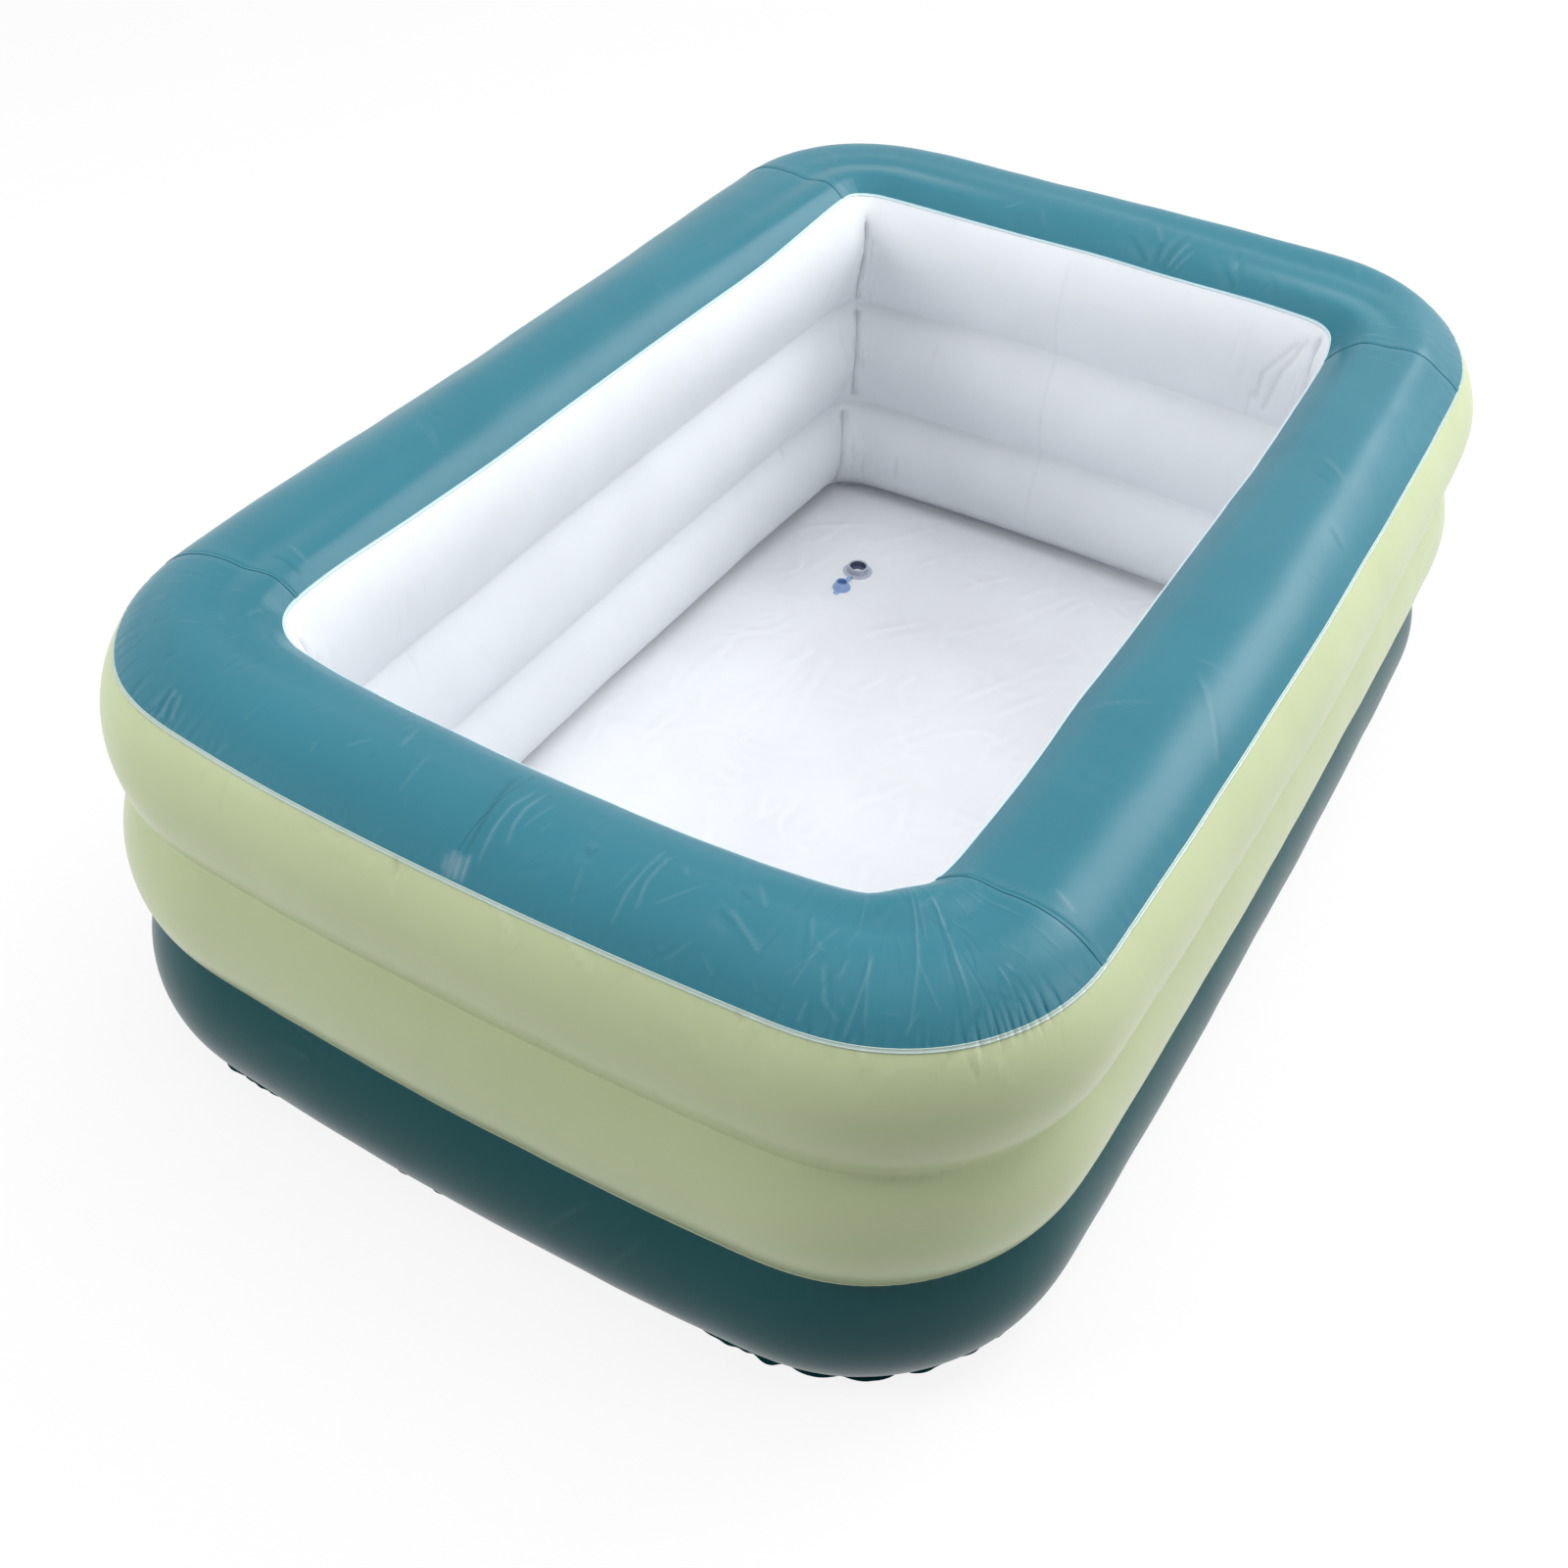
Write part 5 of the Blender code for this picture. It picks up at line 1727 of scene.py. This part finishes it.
# Wrinkles of the floor sheet: ends in metres on the floor, then height as a share of a ridge's
FLOOR_RIDGES = (
    ((-0.164, 0.379), (-0.094, 0.465), 1.0),
    ((-0.170, 0.365), (-0.120, 0.430), 0.6),
    ((-0.050, 0.444), (0.043, 0.556), 0.7),
    ((0.043, 0.556), (0.114, 0.700), 0.7),
    ((-0.188, 0.612), (-0.164, 0.664), 0.8),
    ((-0.266, 0.671), (-0.222, 0.750), 0.7),
    ((0.058, 0.287), (0.121, 0.402), 1.0),
    ((0.121, 0.402), (0.159, 0.485), 0.7),
    ((0.129, 0.279), (0.189, 0.390), 1.0),
    ((-0.229, 0.258), (-0.235, 0.039), 0.5),
    ((-0.211, 0.308), (-0.142, 0.047), 0.5),
    ((-0.197, 0.021), (-0.212, -0.035), 0.6),
    ((-0.224, 0.455), (-0.184, 0.448), 0.4),
    ((-0.045, 0.272), (-0.039, 0.309), 0.8),
    ((0.171, 0.697), (0.239, 0.668), 0.6),
    ((-0.368, 0.411), (-0.338, 0.587), 0.4),
    ((-0.364, 0.061), (-0.366, 0.265), 0.5),
    ((0.001, 0.111), (0.062, 0.213), 0.6),
    ((0.028, -0.077), (0.090, 0.049), 0.6),
    ((-0.347, -0.118), (-0.334, 0.016), 0.7),
)


class POOL_OT_floor(bpy.types.Operator):
    """Floor sheet, laid flat with small wrinkles"""
    bl_idname = "pool.floor"
    bl_label = "Floor sheet"

    def execute(self, context):
        size = sizes()
        fit = fittings()
        crest = size.web_width / 2 + size.bulge
        centre_x = size.width / 2 - size.long_bow - crest - size.corner_radius
        centre_y = size.length / 2 - size.short_bow - crest - size.corner_radius
        edge = size.web_width / 2 - size.outer_foot_inset + size.least_skirt / 2
        radius = size.corner_radius + edge
        step = 1
        x = floor_stops(centre_x, radius, round(250 / step))
        y = floor_stops(centre_y, radius, round(372 / step))
        x_all, y_all = np.meshgrid(x, y)
        points = rounded_corners(x_all, y_all, centre_x, centre_y)
        inner_edge = size.corner_radius - size.web_width / 2 + size.inner_foot_inset - size.inner_skirt
        away = inside_of(points, centre_x, centre_y, inner_edge)
        drain = np.hypot(points[..., 0] - fit.drain_x, points[..., 1] - fit.drain_y)
        calm = np.clip(away / CALM_AT_WALL, 0, 1)
        calm *= np.clip((drain - fit.flange_radius) / CALM_AT_DRAIN, 0, 1)
        calm *= floor_calm_at_plug(points)
        swells, wrinkles = floor_heights(points)
        lift = swells + wrinkles
        points[..., 2] = size.film + (lift + np.hypot(lift, FLOOR_EASE)) / 2 * calm
        piece = grid_piece("floor_film", points, x, y)
        # Painted light on the floor's wrinkles: paler ridges for painted highlight, darker hollows for
        # painted shade.
        paint_fold_light(piece, x, y, FLOOR_PAINTED_LIGHT_SHARE * wrinkles * calm)
        close_below(piece)
        smooth(piece, 50)
        dress(piece, floor_film_skin(), "pool", "floor_sheet", slot="white_vinyl")
        return {"FINISHED"}


def floor_stops(centre, radius, count):
    """Grid stops from edge to edge: close in the open floor and far apart under the wall."""
    fine = np.linspace(-centre - radius, centre + radius, 4000)
    density = np.where(np.abs(fine) < centre + radius / 3, 1.0, 0.25)
    total = np.concatenate(([0], np.cumsum((density[1:] + density[:-1]) / 2)))
    return np.interp(np.linspace(0, total[-1], count + 1), total, fine)


def rounded_corners(x, y, centre_x, centre_y):
    """The square corners of a grid drawn in to round ones."""
    out_x = np.abs(x) - centre_x
    out_y = np.abs(y) - centre_y
    corner = (out_x > 0) & (out_y > 0)
    reach = np.maximum(out_x, out_y)
    least = np.minimum(out_x, out_y)
    turn = np.where(reach > 0, least / np.where(reach > 0, reach, 1), 0) * math.pi / 4
    turn = np.where(out_x >= out_y, turn, math.pi / 2 - turn)
    new_x = np.where(corner, centre_x + reach * np.cos(turn), np.abs(x)) * np.sign(x)
    new_y = np.where(corner, centre_y + reach * np.sin(turn), np.abs(y)) * np.sign(y)
    return np.stack((new_x, new_y, np.zeros_like(new_x)), axis=-1)


def inside_of(points, centre_x, centre_y, radius):
    """How far points lie inside a rounded rectangle."""
    out_x = np.abs(points[..., 0]) - centre_x
    out_y = np.abs(points[..., 1]) - centre_y
    beyond = np.hypot(np.maximum(out_x, 0), np.maximum(out_y, 0))
    return radius - (beyond + np.minimum(np.maximum(out_x, out_y), 0))


def floor_calm_at_plug(points):
    """0 under the open plug and its strap, 1 away from them."""
    fit = fittings()
    y = np.clip(points[..., 1], fit.drain_y - fit.plug_reach, fit.drain_y)
    away = np.hypot(points[..., 0] - fit.drain_x, points[..., 1] - y)
    return np.clip((away - fit.plug_lid - fit.plug_tab) / CALM_AT_PLUG, 0, 1)


def floor_heights(points):
    """Swells and wrinkles of the floor film, in metres."""
    fold = folds()
    draw = np.random.RandomState(71)
    x, y = points[..., 0], points[..., 1]
    total = np.zeros_like(x)
    for _ in range(40):
        length = math.exp(draw.uniform(math.log(45 * MM), math.log(380 * MM)))
        turn = draw.normal() * 0.7 - 0.5
        phase = draw.uniform(0, 2 * math.pi)
        way = 2 * math.pi / length
        total += (length / 0.38) * np.sin(way * (x * math.cos(turn) + y * math.sin(turn)) + phase)
    swells = fold.floor_cloud * (0.5 + total / math.sqrt(40))
    total = np.zeros_like(x)
    width = fold.floor_ridge_width
    for seed, spacing, turn, share in FLOOR_CRINKLES:
        total += fold.floor_ridge * share * crinkles(x, y, seed, spacing, math.radians(turn), width)

    def ridge(start, end, height, width):
        way_x, way_y = end[0] - start[0], end[1] - start[1]
        length = math.hypot(way_x, way_y)
        way_x, way_y = way_x / length, way_y / length
        margin = 6 * width
        low_x, high_x = sorted((start[0], end[0]))
        low_y, high_y = sorted((start[1], end[1]))
        found = (x > low_x - margin) & (x < high_x + margin)
        found &= (y > low_y - margin) & (y < high_y + margin)
        if not found.any():
            return
        from_x, from_y = x[found] - start[0], y[found] - start[1]
        along = np.clip(from_x * way_x + from_y * way_y, 0, length)
        away = np.hypot(from_x - along * way_x, from_y - along * way_y)
        share = along / length
        fade = np.sqrt(np.clip(4 * share * (1 - share), 0, 1))
        total[found] += height * fade * np.exp(-((away / width) ** 2))

    for start, end, share in FLOOR_RIDGES:
        ridge(start, end, fold.floor_ridge * share, fold.floor_ridge_width)
    return swells, total


# Share of the painted highlight and shade on the floor's wrinkles.
FLOOR_PAINTED_LIGHT_SHARE = 0.4
CALM_AT_WALL = 60 * MM
CALM_AT_DRAIN = 40 * MM
CALM_AT_PLUG = 30 * MM
FLOOR_EASE = 1.6 * MM  # over which the film settles on the ground

# Nets of small wrinkles: seed, spacing in metres, direction in degrees, height as a share of a ridge's
FLOOR_CRINKLES = (
    (81, 0.11, 55, 0.75), (82, 0.08, 100, 0.5), (83, 0.15, 30, 0.7), (84, 0.07, 60, 0.4),
)


def crinkles(x, y, seed, spacing, turn, width):
    """Broken, wandering wrinkles that mostly run along a direction. Heights from 0 to 1."""
    draw = np.random.RandomState(seed)
    total, slope_x, slope_y = np.zeros_like(x), np.zeros_like(x), np.zeros_like(x)
    for _ in range(14):
        way = 2 * math.pi / (spacing * draw.uniform(1.0, 3.0))
        across = turn + math.pi / 2 + draw.normal() * 0.5
        phase = draw.uniform(0, 2 * math.pi)
        way_x, way_y = way * math.cos(across), way * math.sin(across)
        total += np.sin(way_x * x + way_y * y + phase)
        slope = np.cos(way_x * x + way_y * y + phase)
        slope_x += way_x * slope
        slope_y += way_y * slope
    away = np.abs(total) / np.maximum(np.hypot(slope_x, slope_y), 1 / spacing)
    mask = np.zeros_like(x)
    for _ in range(10):
        way = 2 * math.pi / (spacing * draw.uniform(1.2, 3.5))
        across = draw.uniform(0, 2 * math.pi)
        phase = draw.uniform(0, 2 * math.pi)
        mask += np.sin(way * (x * math.cos(across) + y * math.sin(across)) + phase)
    return np.exp(-((away / width) ** 2)) * np.clip(mask / 3 - 0.25, 0, 1)


def close_below(piece):
    """Carry the grid's edge down to the ground and close it with one face."""
    edit_all(piece)
    bpy.ops.mesh.select_mode(type="FACE")
    bpy.ops.mesh.select_all(action="SELECT")
    bpy.ops.mesh.region_to_loop()
    bpy.ops.mesh.extrude_edges_move(TRANSFORM_OT_translate={"value": (0, 0, -sizes().film)})
    bpy.ops.mesh.edge_face_add()
    bpy.ops.mesh.select_all(action="SELECT")
    bpy.ops.mesh.normals_make_consistent(inside=False)
    to_object()


class POOL_OT_drain(bpy.types.Operator):
    """Drain with its collar, bore and half of the strap, and the blue plug lying open beside it"""
    bl_idname = "pool.drain"
    bl_label = "Drain"

    def execute(self, context):
        size = sizes()
        fit = fittings()
        base = size.film + size.gap
        rim = base + fit.collar_height
        bottom = base + fit.drain_floor
        flange = base + fit.flange_height
        place = (fit.drain_x, fit.drain_y, 0)
        soft = 0.35 * fit.plug_wall
        profile = [
            (fit.outlet_radius, base),
            (fit.flange_radius, base),
            (fit.flange_radius, flange - size.gap),
            (fit.flange_radius - 1.5 * fit.flange_height, flange),
            (fit.collar_radius + fit.collar_flare + soft, flange),
            (fit.collar_radius + fit.collar_flare / 2, flange + 2 * soft),
            (fit.collar_radius, rim - soft),
            (fit.collar_radius - soft, rim),
            (fit.bore_radius + soft, rim),
            (fit.bore_radius, rim - soft),
            (fit.bore_radius, bottom),
            (fit.outlet_radius, bottom),
        ]
        body = turned("drain_body_moulding", profile, place)
        lid_high = base + fit.plug_lid_height
        hinge_y = -fit.plug_reach / 2
        knuckle_z = (rim + size.gap + lid_high) / 2 - fit.strap_height / 2 - size.gap / 2
        half = fit.strap_height / 2
        line = [
            (-fit.flange_radius + fit.strap_root, base + half),
            (-fit.flange_radius, base + half),
            (hinge_y + fit.knuckle, knuckle_z),
            (hinge_y + size.gap / 2, knuckle_z),
        ]
        piece = strap("drain_strap_half", eased(line), fit.strap_width, fit.strap_height)
        join(body, moved(piece, place))
        dress(body, clear_moulding(), "pool", "drain_body", slot="clear_vinyl")
        # Painted shade on the bore's lower wall.
        paint_bore_shade(body, place, rim)

        plug_y = -fit.plug_reach
        nose_high = lid_high + fit.plug_nose
        bore = fit.bore_radius - fit.plug_fit
        plug_place = (fit.drain_x, fit.drain_y + plug_y, 0)
        profile = [
            (0, base),
            (fit.plug_lid, base),
            (fit.plug_lid, lid_high),
            (bore, lid_high),
            (fit.plug_tip, nose_high),
            (fit.plug_tip - fit.plug_wall, nose_high),
            (bore - fit.plug_wall, lid_high),
            (0, lid_high),
        ]
        plug = turned("drain_plug_moulding", profile, plug_place)
        line = [
            (plug_y + fit.plug_lid - fit.strap_root, base + half),
            (plug_y + fit.plug_lid, base + half),
            (hinge_y - fit.knuckle, knuckle_z),
            (hinge_y - size.gap / 2, knuckle_z),
        ]
        piece = strap("plug_strap_half", eased(line), fit.strap_width, fit.strap_height)
        join(plug, moved(piece, place))
        tab_z = base + fit.plug_tab_height / 2
        far = plug_y - fit.plug_lid
        line = [(far + fit.strap_root, tab_z), (far - fit.plug_tab, tab_z)]
        piece = strap("plug_tab", line, fit.plug_tab_width, fit.plug_tab_height, 0.5 * MM)
        join(plug, moved(piece, place))
        dress(plug, blue_moulding(), "drain_plug", "drain_plug", slot="blue_vinyl")
        return {"FINISHED"}


def paint_bore_shade(body, place, rim):
    """The bore's lower wall gets a dark colour: painted shade inside the bore."""
    body.data.materials.append(painted_shade_moulding())
    fit = fittings()
    for face in body.data.polygons:
        away = math.hypot(face.center.x - place[0], face.center.y - place[1])
        if fit.outlet_radius / 2 < away < fit.bore_radius + 0.2 * MM and face.center.z < rim - 2 * MM:
            face.material_index = 1


class POOL_OT_valves(bpy.types.Operator):
    """Three inflation valves with their stoppers and check flaps"""
    bl_idname = "pool.valves"
    bl_label = "Valves"

    def execute(self, context):
        for level, z, wall_y in valve_spots():
            make_valve_body(level, z, wall_y)
            make_stopper(level, z, wall_y)
            name = f"{level}_check_flap"
            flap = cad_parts[name]
            flap = flap if isinstance(flap, bpy.types.Object) else bpy.data.objects[name]
            for slot in flap.material_slots:
                slot.material = clear_moulding()
        return {"FINISHED"}


def make_valve_body(level, z, wall_y):
    size = sizes()
    fit = fittings()
    flange_out = -size.film / 2 - size.gap
    flange_in = flange_out - fit.valve_flange_height
    rim = size.film / 2 + fit.valve_outside
    end = -size.film / 2 - fit.valve_inside
    profile = [
        (fit.valve_bore, end),
        (fit.valve_neck, end),
        (fit.valve_neck, flange_in),
        (fit.valve_flange, flange_in),
        (fit.valve_flange, flange_out),
        (fit.valve_neck, flange_out),
        (fit.valve_neck, rim),
        (fit.valve_bore, rim),
    ]
    place = (0, wall_y, z)
    body = turned(f"{level}_valve_moulding", profile, place, 48, 0.2 * MM, outwards=True)
    hinge_z = fit.stopper_hinge
    y = rim - fit.stopper_strap_height / 2
    line = [(y, fit.valve_neck - size.gap), (y, hinge_z - size.gap / 2)]
    piece = strap("neck_strap", line, fit.stopper_strap, fit.stopper_strap_height)
    join(body, moved(piece, place))
    lug_low = fit.flap_hinge + fit.flap_height
    lug_high = lug_low + fit.flap_lug_height
    low = fit.valve_neck - size.gap
    line = [(end + fit.flap_lug_length, (low + lug_high) / 2), (end, (low + lug_high) / 2)]
    piece = strap("flap_lug", line, fit.flap_tab_width, lug_high - low)
    join(body, moved(piece, place))
    flap_in = end - size.gap - fit.flap_height
    line = [(end + size.gap, (lug_low + lug_high) / 2), (flap_in, (lug_low + lug_high) / 2)]
    piece = strap("flap_finger", line, fit.flap_tab_width, fit.flap_lug_height)
    join(body, moved(piece, place))
    dress(body, clear_moulding(), "pool", f"{level}_valve_body", slot="clear_vinyl")


def make_stopper(level, z, wall_y):
    size = sizes()
    fit = fittings()
    rim = size.film / 2 + fit.valve_outside
    lid_in = rim + size.gap
    lid_out = lid_in + fit.stopper_lid_height
    nose = fit.valve_bore - fit.stopper_fit
    tip = rim - fit.stopper_nose
    profile = [
        (0, lid_out),
        (fit.stopper_lid, lid_out),
        (fit.stopper_lid, lid_in),
        (nose, lid_in),
        (fit.stopper_tip, tip),
        (fit.stopper_tip - fit.stopper_wall, tip),
        (nose - fit.stopper_wall, lid_in),
        (0, lid_in),
    ]
    place = (0, wall_y, z)
    stopper = turned(f"{level}_stopper_moulding", profile, place, 48, 0.2 * MM, outwards=True)
    y = lid_in + fit.stopper_strap_height / 2
    line = [(y, fit.stopper_lid - fit.stopper_wall), (y, fit.stopper_hinge - size.gap / 2)]
    piece = strap("stopper_strap", line, fit.stopper_strap, fit.stopper_strap_height)
    join(stopper, moved(piece, place))
    line = [(y, -fit.stopper_lid + fit.stopper_wall), (y, -fit.stopper_lid - fit.stopper_tab)]
    piece = strap("stopper_tab", line, fit.stopper_tab_width, fit.stopper_strap_height)
    join(stopper, moved(piece, place))
    body = f"{level}_valve_stopper"
    dress(stopper, blue_moulding(), body, body, slot="blue_vinyl")


class POOL_PT_panel(bpy.types.Panel):
    """Lists the pool's operators in the 3D view's sidebar"""
    bl_label = "Inflatable family pool"
    bl_idname = "POOL_PT_panel"
    bl_space_type = "VIEW_3D"
    bl_region_type = "UI"
    bl_category = "Pool"

    def draw(self, context):
        for operator in OPERATORS:
            self.layout.operator(operator.bl_idname)


GROUPS = (PoolWallSizes, PoolFoldSizes, PoolColours, PoolFittingSizes, PoolStage)
OPERATORS = (
    POOL_OT_stage,
    POOL_OT_top_panels,
    POOL_OT_outer_walls,
    POOL_OT_inner_wall,
    POOL_OT_webs,
    POOL_OT_welds,
    POOL_OT_floor,
    POOL_OT_drain,
    POOL_OT_valves,
)


def register():
    for item in (*GROUPS, *OPERATORS, POOL_PT_panel):
        bpy.utils.register_class(item)
    bpy.types.Scene.pool_sizes = PointerProperty(type=PoolWallSizes)
    bpy.types.Scene.pool_folds = PointerProperty(type=PoolFoldSizes)
    bpy.types.Scene.pool_colours = PointerProperty(type=PoolColours)
    bpy.types.Scene.pool_fittings = PointerProperty(type=PoolFittingSizes)
    bpy.types.Scene.pool_stage = PointerProperty(type=PoolStage)


def unregister():
    for name in ("pool_sizes", "pool_folds", "pool_colours", "pool_fittings", "pool_stage"):
        delattr(bpy.types.Scene, name)
    for item in reversed((*GROUPS, *OPERATORS, POOL_PT_panel)):
        bpy.utils.unregister_class(item)


def main():
    register()
    bpy.ops.pool.stage()
    bpy.ops.pool.top_panels()
    bpy.ops.pool.outer_walls()
    bpy.ops.pool.inner_wall()
    bpy.ops.pool.webs()
    bpy.ops.pool.welds()
    bpy.ops.pool.floor()
    bpy.ops.pool.drain()
    bpy.ops.pool.valves()


if __name__ == "__main__":
    main()
